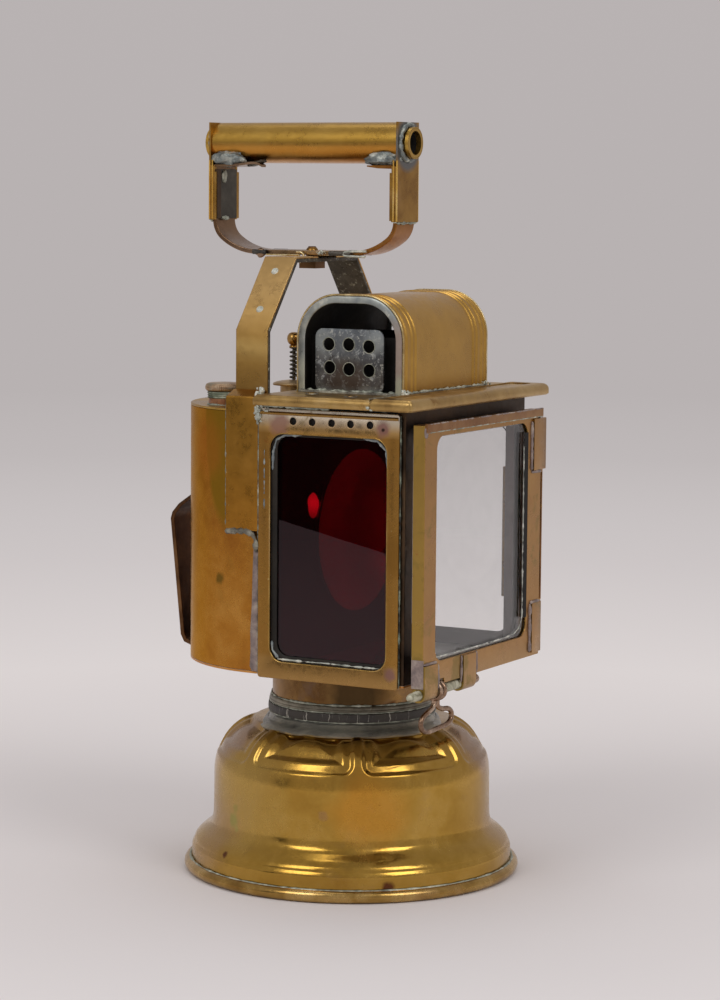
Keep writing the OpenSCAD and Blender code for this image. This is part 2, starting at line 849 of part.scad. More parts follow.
module arch_strap() {
    color("dimgray")
    difference() {
        along_y(arch_y - arch_w / 2, arch_y + arch_w / 2)
            arch_outline(skin_t + seat, skin_t + strap_t, lid_top_z);
        translate([0, arch_y, arch_top_z - 10]) cylinder(h = 20, r = rivet_r + 0.02, $fn = 48);
    }
}

// The brass skins on the outside of the two legs
module arch_skins() {
    color("goldenrod")
    difference() {
        along_y(arch_y - arch_w / 2, arch_y + arch_w / 2)
            arch_outline(0, skin_t, lid_top_z);
        span([-8, -far, 0], [8, far, far * 2]);
    }
}

module arch_rivets() {
    color("gold")
    for (s = [-1, 1], d = [0.2, 0.72]) {
        x = arch_shoulder_x + d * (arch_x - arch_shoulder_x);
        z = arch_top_z - d * arch_knee_drop;
        translate([s * x, arch_y, z]) rotate([0, s * (90 - arch_slope), 0])
            translate([0, 0, seat]) cylinder(h = 0.6, r1 = 1.7, r2 = 1.2, $fn = 32);
    }
}

// Brackets outside the tank that bend in at the top to the arch's feet
module side_brackets() {
    top = lid_top_z + 5;
    inner = house_x + 0.1;
    outer = inner + 2;
    lip = arch_x + 0.1;
    color("olive")
    for (s = [-1, 1]) {
        span([s < 0 ? -outer : inner, bracket_y - arch_w / 2, tank_top_z - 51],
             [s < 0 ? -inner : outer, bracket_y + arch_w / 2, top - 0.4]);
        along_y(bracket_y - arch_w / 2, bracket_y + arch_w / 2)
            polygon([
                [s * outer, top - 0.4], [s * (outer - 0.3), top + 0.9], [s * lip, top + 3.6],
                [s * lip, top + 2.2], [s * inner, top - 0.4]
            ]);
    }
}

// The strap loop on the tank's back
module rear_loop() {
    half = loop_w / 2;
    color("saddlebrown")
    difference() {
        along_x(-half, half) loop_outline(0);
        along_x(-half - 1, half + 1) loop_outline(loop_t);
        translate([0, tank_y, 0]) cylinder(h = far * 2, r = tank_r + seat, $fn = 120);
    }
}

// The loop's outline in the y-z plane, w inside its outer face
module loop_outline(w) {
    top = tank_top_z - 41.5;
    y0 = tank_y + tank_r;
    low = top - loop_h;
    polygon([
        [y0 - 8, top - w], [y0 + 1, top - 1 - w], [y0 + 7.5 - w * 0.6, top - 5.5 - w * 0.6],
        [y0 + 11 - w, top - 9.5 - w * 0.3], [y0 + 11.9 - w, top - 12.5],
        [y0 + 6.4 - w, low + 4.5 + w * 0.3], [y0 + 4.6 - w * 0.7, low + 1.2 + w * 0.7],
        [y0 + 1, low + w], [y0 - 8, low + w]
    ]);
}

// The fixed swivel: a rivet through arch and bow, with a block under the arch
module swivel_rivet() {
    color("sienna")
    translate([0, arch_y, 0]) {
        translate([0, 0, arch_top_z - 4]) cylinder(h = bow_z + bow_t - arch_top_z + 4.4, r = rivet_r, $fn = 48);
        translate([0, 0, bow_z + bow_t + 0.1]) cylinder(h = 1.6, r1 = 2.6, r2 = 1.6, $fn = 48);
        translate([-4.2, -4.2, arch_top_z - 5.6]) cube([8.4, 8.4, 3]);
    }
}

// Door frame: a face sheet with a window and side walls turned back
module door_frame() {
    z1 = door_z + door_h;
    y0 = door_face_y;
    y1 = door_face_y + door_depth;
    cut_x = hinge_x - knuckle_r - 0.6;
    color("peru")
    difference() {
        span([-door_x, y0, door_z], [door_x, y1, z1]);
        span([-door_x + 1, y0 + 1, door_z + 1], [door_x - 1, y1 + 1, z1 - 1]);
        door_window(y0 - 1, y0 + 3, 0);
        span([cut_x, y0 - 1, door_z - 1], [door_x + 1, y1 + 1, z1 + 1]);
        span([ring_x - 2.9 * ring_wire_r, y0 - 1, door_z - 1],
             [ring_x + 2.9 * ring_wire_r, y1 + 1, latch_z + latch_rod_r + 2 * ring_wire_r + 0.7]);
    }
    color("peru") span([cut_x - 1, y0 + 1, door_z], [cut_x, y1, z1]);
}

module door_window(y0, y1, grow) {
    translate([door_window_x0 + door_window_w / 2, 0, door_window_z0 + door_window_h / 2])
        along_y(y0, y1)
            round_rect(door_window_w + 2 * grow, door_window_h + 2 * grow, door_window_corner + grow);
}

module door_top_strip() {
    z1 = door_z + door_h;
    color("chocolate")
    span([-door_x - 0.4, door_face_y - 1.2, z1 - 3.2], [door_x - 4, door_face_y - seat, z1 + 0.6]);
}

module door_glass() {
    y0 = door_face_y + 1 + 0.1;
    color([0.85, 0.9, 0.9, 0.25])
    span([door_window_x0 - 2.5, y0, door_window_z0 - 2.5],
         [door_window_x0 + door_window_w + 2.5, y0 + door_pane_t, door_window_z0 + door_window_h + 2.5]);
}

// The frame behind the door's pane
module door_glass_bead() {
    y0 = door_face_y + 1 + 0.1 + door_pane_t + 0.05;
    color("dimgray")
    difference() {
        door_window(y0, y0 + 1, 4.2);
        door_window(y0 - 1, y0 + 2, -0.5);
    }
}

hinge_low_z = door_z + 1.5;
hinge_low_h = 22.5;
hinge_high_h = 23;
hinge_high_z = door_z + door_h - 4 - hinge_high_h;

// The two straps on the door that wrap round the hinge pin
module hinge_straps() {
    x0 = hinge_x - 12;
    color("darkorange")
    for (place = [[hinge_low_z, hinge_low_h], [hinge_high_z, hinge_high_h]])
        translate([0, 0, place[0]]) difference() {
            union() {
                translate([hinge_x, hinge_y, 0]) cylinder(h = place[1], r = knuckle_r, $fn = 48);
                span([x0, door_face_y - 1, 0], [hinge_x, door_face_y - seat, place[1]]);
                span([hinge_x - knuckle_r - 0.5, door_face_y - 1, 0],
                     [hinge_x + knuckle_r, hinge_y, place[1]]);
            }
            translate([hinge_x, hinge_y, -1]) cylinder(h = place[1] + 2, r = hinge_pin_r + hinge_gap, $fn = 48);
        }
}

// The leaf on the house, with the middle knuckle
module hinge_leaf() {
    z0 = hinge_low_z + hinge_low_h + 0.3;
    z1 = hinge_high_z - 0.3;
    color("goldenrod")
    difference() {
        union() {
            translate([hinge_x, hinge_y, z0]) cylinder(h = z1 - z0, r = knuckle_r, $fn = 48);
            span([plate_x + 0.1, hinge_y, z0], [hinge_x + knuckle_r, front_y + 12, z1]);
        }
        translate([hinge_x, hinge_y, z0 - 1]) cylinder(h = z1 - z0 + 2, r = hinge_pin_r, $fn = 48);
    }
}

module hinge_pin() {
    color("gray")
    translate([hinge_x, hinge_y, hinge_low_z - 0.6])
        cylinder(h = hinge_high_z + hinge_high_h - hinge_low_z + 1.2, r = hinge_pin_r - 0.005, $fn = 48);
}

latch_strap_w = 11.8;
latch_pitch = 35.6;
latch_rod_out = 7;
latch_rod_past = 6.7;
latch_left_x = -door_x;
latch_right_x = latch_left_x + latch_pitch;

// Straps soldered on the door's face that curl round the latch rod
module latch_straps() {
    curl_r = latch_rod_r + 1;
    color("darkgoldenrod")
    for (x0 = [latch_left_x, latch_right_x])
        difference() {
            union() {
                span([x0, door_face_y - 1, latch_z], [x0 + latch_strap_w, door_face_y - seat, door_z + 9.5]);
                translate([x0, latch_y, latch_z]) rotate([0, 90, 0])
                    cylinder(h = latch_strap_w, r = curl_r, $fn = 48);
            }
            translate([x0 - 1, latch_y, latch_z]) rotate([0, 90, 0])
                cylinder(h = latch_strap_w + 2, r = latch_rod_r, $fn = 48);
            span([x0 - 1, door_face_y - seat, latch_z + latch_rod_r + 0.45],
                 [x0 + latch_strap_w + 1, door_face_y + 10, latch_z + 10]);
        }
}

module latch_rod() {
    color("palegreen")
    translate([latch_left_x - latch_rod_out, latch_y, latch_z]) rotate([0, 90, 0])
        cylinder(h = latch_rod_out + latch_pitch + latch_strap_w + latch_rod_past, r = latch_rod_r - 0.005, $fn = 48);
}

// A wire from point to point, with a ball at each bend
module wire(points, r) {
    last = len(points) - 1;
    for (i = [0:last - 1]) {
        a = points[i];
        d = points[i + 1] - a;
        translate(a) rotate([0, acos(d[2] / norm(d)), atan2(d[1], d[0])])
            cylinder(h = norm(d), r = r, $fn = 24);
    }
    for (p = points) translate(p) sphere(r * 1.03, $fn = 24);
}

ring_x = latch_left_x + latch_strap_w + 4.4;

// The pull ring: two eyes on the latch rod, a neck and a wide three-sided ring
module pull_ring() {
    eye_r = latch_rod_r + 0.07 + ring_wire_r;
    w = ring_wire_r;
    neck = [[1.05 * w, 0.4, -4.2], [1.05 * w, 0.4, -6.5], [3, 0, -8.2]];
    half = concat(neck, [[12, 0, -9], [14.5, 0, -11.4], [13, 0, -16]]);
    right = [for (p = half) [p[0], p[1] - 0.4, p[2]]];
    left = [for (i = [len(half) - 1:-1:0]) [-right[i][0], right[i][1], right[i][2]]];
    color("sienna")
    translate([ring_x, latch_y, latch_z]) {
        for (s = [-1, 1])
            translate([s * 1.02 * w, 0, 0]) rotate([0, 90, 0]) rotate_extrude($fn = 48)
                translate([eye_r, 0]) circle(w, $fn = 24);
        for (s = [-1, 1])
            translate([s * 1.05 * w, 0, -7]) cylinder(h = 4, r = w * 0.98, $fn = 24);
        wire(concat([for (i = [1:5]) right[i]], [for (i = [0:4]) left[i]]), w);
    }
}

// The bow's outline in the y-z plane: limbs, a tight and a wide bend at each corner, flat middle;
// w inside its outer face
module bow_outline(w) {
    half = bow_len / 2 - 1;
    flat = half - bow_bend_w;
    lean = asin((bow_sweep - bow_bend_h) / (bow_sweep - bow_bend));
    translate([-half + w, bow_bend_h]) square([2 * (half - w), far]);
    translate([-flat, w]) square([2 * flat, far]);
    for (s = [-1, 1]) {
        intersection() {
            translate([s * (half - bow_bend), bow_bend_h]) circle(bow_bend - w, $fn = 96);
            translate([s * (half - bow_bend), bow_bend_h])
                polygon([[0, 0], [s * far, 0], [s * far * cos(lean), -far * sin(lean)]]);
        }
        intersection() {
            translate([s * flat, bow_sweep]) circle(bow_sweep - w, $fn = 96);
            translate([s * flat, bow_sweep])
                polygon([[0, 0], [s * far * cos(lean), -far * sin(lean)], [0, -far]]);
        }
    }
}
// Length that the bow's bends take up along the grip
bow_bend_w = bow_bend + sqrt(pow(bow_sweep - bow_bend, 2) - pow(bow_sweep - bow_bend_h, 2));

module bow_strap() {
    color("darkgoldenrod")
    translate([0, arch_y, bow_z]) difference() {
        along_x(-bow_w / 2, bow_w / 2) difference() {
            bow_outline(0);
            bow_outline(bow_t);
            translate([-far / 2, grip_rise - grip_r - 1.2]) square([far, far * 2]);
        }
        translate([0, 0, -1]) cylinder(h = 6, r = rivet_r + 0.07, $fn = 48);
    }
}

module grip_tube() {
    half = bow_len / 2 - 0.9;
    color("olive")
    translate([0, arch_y, grip_z]) rotate([90, 0, 0]) difference() {
        cylinder(h = 2 * half, r = grip_r, center = true, $fn = 96);
        cylinder(h = 2 * half + 2, r = grip_r - 1, center = true, $fn = 96);
    }
}

liner_bore_r = 5.2;
liner_r = liner_bore_r + 1;

// The tube through the grip, open at both ends
module grip_liner() {
    reach = bow_len / 2 + 3.6;
    color("goldenrod")
    translate([0, arch_y, grip_z]) rotate([90, 0, 0]) difference() {
        union() {
            cylinder(h = 2 * reach, r = liner_r, center = true, $fn = 64);
            for (s = [-1, 1]) translate([0, 0, s * (reach - 0.8)])
                cylinder(h = 1.6, r = liner_r + 0.75, center = true, $fn = 64);
        }
        cylinder(h = 2 * reach + 2, r = liner_bore_r, center = true, $fn = 64);
    }
}

sleeve_lip = 4.2;

// Channels over the bow's limbs, with end plates that close the grip
module bow_sleeves() {
    half = bow_len / 2;
    z0 = bow_z + bow_bend_h;
    z1 = grip_z + grip_r;
    z2 = z0 + 0.5;
    depth = bow_t + 1;
    color("darkgoldenrod")
    for (s = [-1, 1]) translate([0, arch_y, 0]) difference() {
        union() {
            span([-sleeve_w / 2, s < 0 ? -half : half - 0.88, z0],
                 [sleeve_w / 2, s < 0 ? -half + 0.88 : half, z1]);
            for (q = [-1, 1])
                span([q < 0 ? -sleeve_w / 2 : bow_w / 2 + 0.1, s < 0 ? -half : half - depth, z0],
                     [q < 0 ? -bow_w / 2 - 0.1 : sleeve_w / 2, s < 0 ? -half + depth : half, grip_z - grip_r - 1.2]);
            for (q = [-1, 1])
                span([q < 0 ? -sleeve_w / 2 : sleeve_w / 2 - sleeve_lip, s < 0 ? -half + depth + 0.1 : half - depth - 0.9, z2],
                     [q < 0 ? -sleeve_w / 2 + sleeve_lip : sleeve_w / 2, s < 0 ? -half + depth + 0.9 : half - depth - 0.1,
                      grip_z - grip_r - 4]);
            for (q = [-1, 1])
                span([q < 0 ? -sleeve_w / 2 : bow_w / 2 + 0.1, s < 0 ? -half + depth - 0.5 : half - depth - 0.5, z2],
                     [q < 0 ? -bow_w / 2 - 0.1 : sleeve_w / 2, s < 0 ? -half + depth + 0.5 : half - depth + 0.5,
                      grip_z - grip_r - 4]);
        }
        translate([0, s * half, grip_z]) rotate([90, 0, 0]) cylinder(h = 6, r = liner_r + seat, center = true);
    }
}

// Saddles between the grip and the limbs, which taper away under the grip
module grip_gussets() {
    half = bow_len / 2;
    foot = -grip_r - 2.4;
    color("gray")
    for (s = [[-1, 13.9], [1, 18.9]]) translate([0, arch_y, grip_z]) difference() {
        along_x(-sleeve_w / 2, sleeve_w / 2) polygon([for (p =
            [[3.1, foot], [3.1 + s[1], foot], [3.1 + s[1], foot + 1.3], [3.1 + s[1] * 0.6, foot + 2.6],
             [3.1 + s[1] * 0.3, foot + 4.6], [3.1, foot + 6.2]])
            [s[0] * (half - p[0]), p[1]]]);
        rotate([90, 0, 0]) cylinder(h = far, r = grip_r + seat, center = true, $fn = 96);
    }
}

// Curled catches at the edges of the bow's flat middle, long ones in front and short ones behind
module bow_clips() {
    r = 1.1;
    flat = bow_len / 2 - 1 - bow_bend_w;
    color("gray")
    for (c = [[-1, 11], [1, 7]], q = [-1, 1])
        translate([q * (bow_w / 2 + seat + r), arch_y + c[0] * (flat - c[1] / 2 + 1), bow_z + bow_t / 2])
            rotate([90, 0, 0]) cylinder(h = c[1], r = r, center = true, $fn = 32);
}

base_shell();
base_pan();
base_collar();
carbide_basket();
gasket();
neck_flange();
neck_tube();
house_floor();
front_frame();
left_wall();
right_wall();
rear_wall();
left_window_plate();
right_window_plate();
red_glass();
clear_glass();
left_glass_clips();
right_glass_clips();
tank_shell();
tank_lid();
filler_neck();
filler_cap();
valve_boss();
valve_spring();
valve_stem();
drip_tube();
burner_tube();
burner_tip();
reflector();
roof_plate();
roof_front_cap();
hood();
baffles();
arch_strap();
arch_skins();
arch_rivets();
side_brackets();
rear_loop();
swivel_rivet();
door_frame();
door_top_strip();
door_glass();
door_glass_bead();
hinge_straps();
hinge_leaf();
hinge_pin();
latch_straps();
latch_rod();
pull_ring();
bow_strap();
grip_tube();
grip_liner();
bow_sleeves();
grip_gussets();
bow_clips();
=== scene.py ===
"""Dresses the railroad lantern: looks for the CAD nodes, finer pieces that follow them, floor, light and camera."""
from math import acos, asin, cos, hypot, pi, radians, sin

import bmesh
import bpy
from mathutils import Matrix, Vector, noise


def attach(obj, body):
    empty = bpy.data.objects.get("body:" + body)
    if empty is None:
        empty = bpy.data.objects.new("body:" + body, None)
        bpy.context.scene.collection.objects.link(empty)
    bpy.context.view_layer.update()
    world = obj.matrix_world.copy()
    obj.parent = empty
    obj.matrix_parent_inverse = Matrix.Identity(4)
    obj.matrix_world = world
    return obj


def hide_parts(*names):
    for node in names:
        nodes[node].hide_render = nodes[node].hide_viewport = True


# Lengths are in mm in the frame, which has x across the lantern, y from the door to the tank and z up.
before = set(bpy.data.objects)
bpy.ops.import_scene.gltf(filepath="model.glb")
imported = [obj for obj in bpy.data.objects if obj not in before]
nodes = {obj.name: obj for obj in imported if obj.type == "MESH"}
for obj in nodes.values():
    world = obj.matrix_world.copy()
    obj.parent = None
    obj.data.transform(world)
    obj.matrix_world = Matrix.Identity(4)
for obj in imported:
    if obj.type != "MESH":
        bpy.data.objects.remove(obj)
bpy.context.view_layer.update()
scene = bpy.context.scene
MM = 0.001
ACROSS, ALONG, UP = (1, 0, 0), (0, 1, 0), (0, 0, 1)


def link(name, data):
    made = bpy.data.objects.new(name, data)
    scene.collection.objects.link(made)
    return made


# ---------------------------------------------------------------- camera

def place_camera():
    yaw, pitch, roll = radians(60.82), radians(6.19), radians(0.44)
    ahead = Vector((cos(pitch) * sin(yaw), cos(pitch) * cos(yaw), -sin(pitch)))
    level = Vector((cos(yaw), -sin(yaw), 0))
    rise = level.cross(ahead)
    right = cos(roll) * level + sin(roll) * rise
    up = -sin(roll) * level + cos(roll) * rise
    data = bpy.data.cameras.new("photo_camera")
    focal_px, photo_px, sensor_mm = 2938.56, 1000, 36
    data.sensor_width = sensor_mm
    data.lens = focal_px * sensor_mm / photo_px
    data.clip_start, data.clip_end = 0.05, 100
    camera = link("photo_camera", data)
    matrix = Matrix((right, up, -ahead)).transposed().to_4x4()
    matrix.translation = Vector((-1.13404, -0.63643, 0.30647))
    camera.matrix_world = matrix
    scene.camera = camera


place_camera()
scene.view_settings.view_transform = "Standard"


# ---------------------------------------------------------------- colours and node graphs

def srgb(code):
    """A hex colour as it looks, turned into the linear values that shaders use."""
    values = [int(code[i:i + 2], 16) / 255 for i in (0, 2, 4)]
    return tuple(v / 12.92 if v <= 0.04045 else ((v + 0.055) / 1.055) ** 2.4 for v in values) + (1,)


def marks(text):
    """Rows of a hex colour and its numbers, from a text with commas between the rows."""
    rows = [row.split() for row in text.split(",") if row]
    return [(row[0], *map(float, row[1:])) for row in rows]


def fill(ramp, stops):
    """Sets a colour ramp from marks, each a colour and its place."""
    stops = marks(stops)
    while len(ramp.elements) < len(stops):
        ramp.elements.new(0.5)
    for element, (tone, at) in zip(ramp.elements, stops):
        element.position, element.color = at, srgb(tone)


class Look:
    """A material and short names for the nodes in it. Coordinates are metres in the shared frame."""

    def __init__(self, name):
        self.mat = bpy.data.materials.new(name)
        self.mat.use_nodes = True
        self.tree = self.mat.node_tree
        self.tree.nodes.clear()
        self.shader = self.node("BsdfPrincipled")
        self.out = self.node("OutputMaterial", {0: self.shader.outputs[0]})
        self.place = self.node("TexCoord").outputs["Object"]

    def node(self, kind, puts=None, **props):
        made = self.tree.nodes.new("ShaderNode" + kind)
        for key, value in props.items():
            setattr(made, key, value)
        for key, value in (puts or {}).items():
            self.put(made.inputs[key], value)
        return made

    def put(self, socket, value):
        if isinstance(value, bpy.types.NodeSocket):
            self.tree.links.new(value, socket)
        else:
            socket.default_value = srgb(value) if isinstance(value, str) else value

    def math(self, op, a, b=0, clamp=False):
        return self.node("Math", {0: a, 1: b}, operation=op, use_clamp=clamp).outputs[0]

    def plus(self, a, b):
        return self.math("ADD", a, b)

    def times(self, a, b):
        return self.math("MULTIPLY", a, b)

    def vector(self, op, *inputs, out=0):
        return self.node("VectorMath", dict(enumerate(inputs)), operation=op).outputs[out]

    def noise(self, scale, detail=4, rough=0.55, bend=0, shift=0):
        place = self.vector("ADD", self.place, (shift, shift * 0.6, shift * 1.7)) if shift else self.place
        return self.node("TexNoise", {"Vector": place, "Scale": scale, "Detail": detail, "Roughness": rough,
                                      "Distortion": bend}).outputs[0]

    def band(self, value, low, high, to_low=0, to_high=1):
        return self.node("MapRange", {"Value": value, "From Min": low, "From Max": high, "To Min": to_low,
                                      "To Max": to_high}).outputs[0]

    def mix(self, factor, a, b):
        return self.node("Mix", {0: factor, 6: a, 7: b}, data_type="RGBA").outputs[2]

    def ramp(self, value, stops):
        made = self.node("ValToRGB", {0: value})
        fill(made.color_ramp, stops)
        return made.outputs[0]

    def bump(self, height, strength, depth_mm, normal=None):
        made = self.node("Bump", {"Strength": strength, "Distance": depth_mm * MM, "Height": height})
        if normal is not None:
            self.put(made.inputs["Normal"], normal)
        return made.outputs[0]

    def spot(self, centre, radius, soft=0.35, ragged=0.25, fine=1, *squash):
        """1 inside a ragged round patch at a place given in mm, 0 outside."""
        reach = radius * MM
        cloud = self.node("TexNoise", {"Vector": self.place, "Scale": fine * 900 / max(radius, 1.5), "Detail": 3})
        wander = self.vector("MULTIPLY_ADD", cloud.outputs[1], (reach * ragged * 4,) * 3, (-reach * ragged * 2,) * 3)
        moved = self.vector("ADD", self.place, wander)
        off = self.vector("SUBTRACT", moved, tuple(c * MM for c in centre))
        away = self.vector("LENGTH", self.vector("MULTIPLY", off, squash or (1, 1, 1)), out=1)
        return self.band(away, reach * (1 + soft), reach * (1 - soft))

    def zone(self, way, low, high, stops):
        """A ramp of colours along a direction of the frame, from low to high in mm, with an uneven border."""
        value = self.band(self.vector("DOT_PRODUCT", self.place, way, out=1), low * MM, high * MM)
        return self.ramp(self.plus(value, self.band(self.noise(45, 4, 0.6, 0.3, 12.2), 0.3, 0.7, -0.03, 0.03)), stops)

    def facing(self, way):
        """1 where the piece's own surface faces the direction or its opposite."""
        normal = self.node("TexCoord").outputs["Normal"]
        return self.band(self.math("ABSOLUTE", self.vector("DOT_PRODUCT", normal, way, out=1)), 0.5, 0.8)

    def finish(self, colour, rough, metallic=1, normal=None):
        self.put(self.shader.inputs["Base Color"], colour)
        self.put(self.shader.inputs["Roughness"], rough)
        self.put(self.shader.inputs["Metallic"], metallic)
        if normal is not None:
            self.put(self.shader.inputs["Normal"], normal)
        return self.mat


looks = {}


def metal(key, tones, patina, rough, shift, grain=1, dents=0.25, stains="", spots="", specks="", size=1,
          metallic=1, zones=(), sides=(), edge=""):
    """Old sheet metal. tones: three colours from dark to light. patina: colour, share, strength.
    stains, specks: colour, share, fineness. spots: colour, centre in mm, radius, strength and form.
    zones: (direction, low, high, stops, amount) along the frame. sides: (direction, colour, amount) by facing."""
    look = Look(key)
    if edge:
        look.put(look.shader.inputs["Specular Tint"], edge)
    large = look.noise(16 / size, 5, 0.6, 0.6, shift + 1.1)
    mid = look.noise(75 / size, 6, 0.62, 0.3, shift + 2.3)
    fine = look.noise(420, 4, 0.6, 0, shift + 0.4)
    blend = look.plus(look.times(large, 0.55), look.times(mid, 0.45))
    colour = look.ramp(blend, "{} 0.36, {} 0.5, {} 0.63".format(*tones.split()))
    roughness = look.band(mid, 0.35, 0.68, *rough)
    for way, low, high, stops, amount in zones:
        colour = look.mix(amount, colour, look.zone(way, low, high, stops))
    for way, tint, amount in sides:
        colour = look.mix(look.times(look.facing(way), amount), colour, tint)
    for tint, share, strength in marks(patina):
        cloud = look.noise(34 / size, 7, 0.68, 0.15, shift + 5.7)
        mask = look.times(look.band(cloud, 0.66 - share * 0.3, 0.80 - share * 0.3), strength)
        colour = look.mix(mask, colour, tint)
        roughness = look.plus(roughness, look.times(mask, 0.06))
        metallic = look.math("SUBTRACT", metallic, look.times(mask, 0.1))
    for i, (tint, share, fineness) in enumerate(marks(stains)):
        cloud = look.noise(fineness, 6, 0.7, 0.4, shift + 9.1 + i * 3.3)
        mask = look.times(look.band(cloud, 0.70 - share * 0.3, 0.78 - share * 0.3), 0.75)
        colour = look.mix(mask, colour, tint)
        roughness = look.plus(roughness, look.times(mask, 0.04))
    for tint, share, fineness in marks(specks):
        dots = look.node("TexVoronoi", {"Vector": look.place, "Scale": fineness}).outputs["Distance"]
        pick = look.noise(fineness * 0.6, 2, 0.5, 0, shift + 21)
        mask = look.times(look.band(dots, 0.22, 0.08), look.band(pick, 0.74 - share * 0.3, 0.78 - share * 0.3))
        colour = look.mix(mask, colour, tint)
    for tint, x, y, z, radius, strength, *form in marks(spots):
        mask = look.times(look.spot((x, y, z), radius, *form), strength)
        colour = look.mix(mask, colour, tint)
        roughness = look.plus(roughness, look.times(mask, 0.15))
    roughness = look.math("ADD", roughness, look.band(fine, 0.4, 0.6, -0.03, 0.04), clamp=True)
    normal = look.bump(fine, 0.16 * grain, 0.12, look.bump(mid, dents, 0.35))
    looks[key] = look.finish(colour, roughness, metallic, normal)


def solder(key, tones, lumps, rough, metallic):
    look = Look(key)
    cloud = look.noise(160, 6, 0.65, 0.5, 0.8)
    colour = look.ramp(cloud, "{} 0.34, {} 0.5, {} 0.64".format(*tones.split()))
    normal = look.bump(look.noise(700, 4, 0.6, 0, 2.8), 0.3, 0.15, look.bump(cloud, lumps, 0.6))
    looks[key] = look.finish(colour, look.band(cloud, 0.35, 0.65, rough - 0.1, rough + 0.12), metallic, normal)


def plain(key, cloud, tones, rough, metallic, bumps):
    """A quiet look of two tones."""
    look = Look(key)
    cloud = look.noise(*cloud)
    colour = look.ramp(cloud, "{} 0.35, {} 0.65".format(*tones.split()))
    looks[key] = look.finish(colour, look.band(cloud, 0.35, 0.65, *rough), metallic, look.bump(cloud, *bumps))
    return look


def glint_lug_look():
    """A small lump at the side of the dish, carrying a painted highlight: a glowing spot that stands for the lamp's
    reflection off the dish's rim.
    """
    look = plain("glint_lug", (90, 4, 0.6), "22201e 423e3a", (0.4, 0.55), 0.8, (0.2, 0.2))
    # Painted highlight: an emission spot that makes the lump glow though it is no lamp.
    glow = look.spot((-32, 1.8, 167), 5, 0.8, 0.08)
    look.put(look.shader.inputs["Emission Color"], "ffece8")
    look.put(look.shader.inputs["Emission Strength"], look.times(glow, 2.6))


def rubber_look():
    look = Look("rubber")
    wide = look.noise(60, 5, 0.6, 0.3, 4.4)
    split = look.node("SeparateXYZ", {0: look.place})
    turn = look.math("ARCTAN2", split.outputs[1], split.outputs[0])
    sway = look.band(look.noise(400, 3, 0.6, 0, 3.1), 0.3, 0.7, -0.012, 0.012)
    around = look.node("TexNoise", {"W": look.plus(turn, sway), "Scale": 26, "Detail": 5, "Roughness": 0.75},
                       noise_dimensions="1D").outputs[0]
    reach = look.noise(220, 2, 0.5, 0, 7.7)
    cracks = look.times(look.band(around, 0.615, 0.65), look.band(reach, 0.40, 0.5))
    chips = look.times(look.band(look.noise(300, 5, 0.7, 0, 3.9), 0.64, 0.72), 0.35)
    colour = look.ramp(wide, "2e2924 0.35, 423c34 0.65")
    colour = look.mix(look.math("MAXIMUM", cracks, chips), colour, "b0aca0")
    looks["rubber"] = look.finish(colour, look.band(wide, 0.3, 0.7, 0.45, 0.65), 0, look.bump(around, 0.4, 0.3))


def glass(key, tint, gloss):
    look = Look(key)
    cloud = look.noise(30, 3, 0.5, 0.3, 1.5)
    smear = look.noise(140, 6, 0.65, 0.4, 6.5)
    for socket, value in (("Transmission Weight", 1), ("IOR", 1.45), ("Specular Tint", gloss)):
        look.put(look.shader.inputs[socket], value)
    dull = tuple(c * 0.86 for c in srgb(tint)[:3]) + (1,)
    colour = look.mix(look.band(smear, 0.45, 0.75, 0, 0.25), tint, dull)
    looks[key] = look.finish(colour, look.band(smear, 0.5, 0.8, 0.004, 0.02), 0, look.bump(cloud, 0.004, 1))


# The gold zone along UP (46 to 70 mm) darkens the shoulder towards the collar: painted shade under the lamp house.
metal("gold", "9c742e b48d3f caa458", "a8885c 0.25 0.45", (0.13, 0.27), 0, 0.8, 0.16,
      stains="9e7c3a 0.34 34, a07c3c 0.2 120, 805c30 0.05 240", zones=[(UP, 46, 70,
      "ac883e 0, a8823e 0.5, 7a5e32 1", 0.4)], specks="684c2c 0.16 330",
      spots="bc9e5c -56.7 24.4 40 22 0.55, ce8e32 -50 -37 38 15 0.5, 9e8474 -35.6 38.1 60 13 0.75, "
       "9e8474 14.7 -53.5 58 14 0.75, b08e62 -58 42 20 16 0.6, b08e62 22 -66 20 14 0.5, "
       "989e54 -55 28.2 27.5 3 0.55, 98964e -55.5 27 33 1.8 0.45, a8a45c -56 25.8 24 1.4 0.5, "
       "54241e -65.1 27 14.5 1.5 0.85, 542222 -53.2 -48 6.3 2.6 0.85, 9e7c60 -58.8 -19 35.4 2 0.4")
metal("neck", "604428 8e6c40 ae8a58", "705c50 0.35 0.7", (0.22, 0.4), 21, 1, 0.3,
      stains="603c22 0.3 80, a88246 0.2 60", spots="423422 -30 -19 86 13 0.85, 96703e -20 24 88 9 0.5")
metal("satin", "a47c3a bc9348 d2aa60", "a08054 0.2 0.4", (0.26, 0.38), 3.1, 0.6, 0.08, zones=[(UP, 214, 224,
      "b08032 0, c49a4e 1", 0.5)])
metal("arch", "98763e b08c4e cca86a", "a08054 0.2 0.4", (0.26, 0.38), 4.9, 0.6, 0.08, zones=[(UP, 208, 272,
      "8c6834 0, 94723a 0.3, b09258 0.42, 9e7c44 0.5, d0ac72 0.8", 0.75)])
metal("olive", "7e5c24 b08a3e cca858", "84625c 0.18 0.7", (0.24, 0.4), 7.7, 1, 0.2,
      stains="967c4a 0.25 110, 624c2c 0.12 240", specks="ceba84 0.25 420")
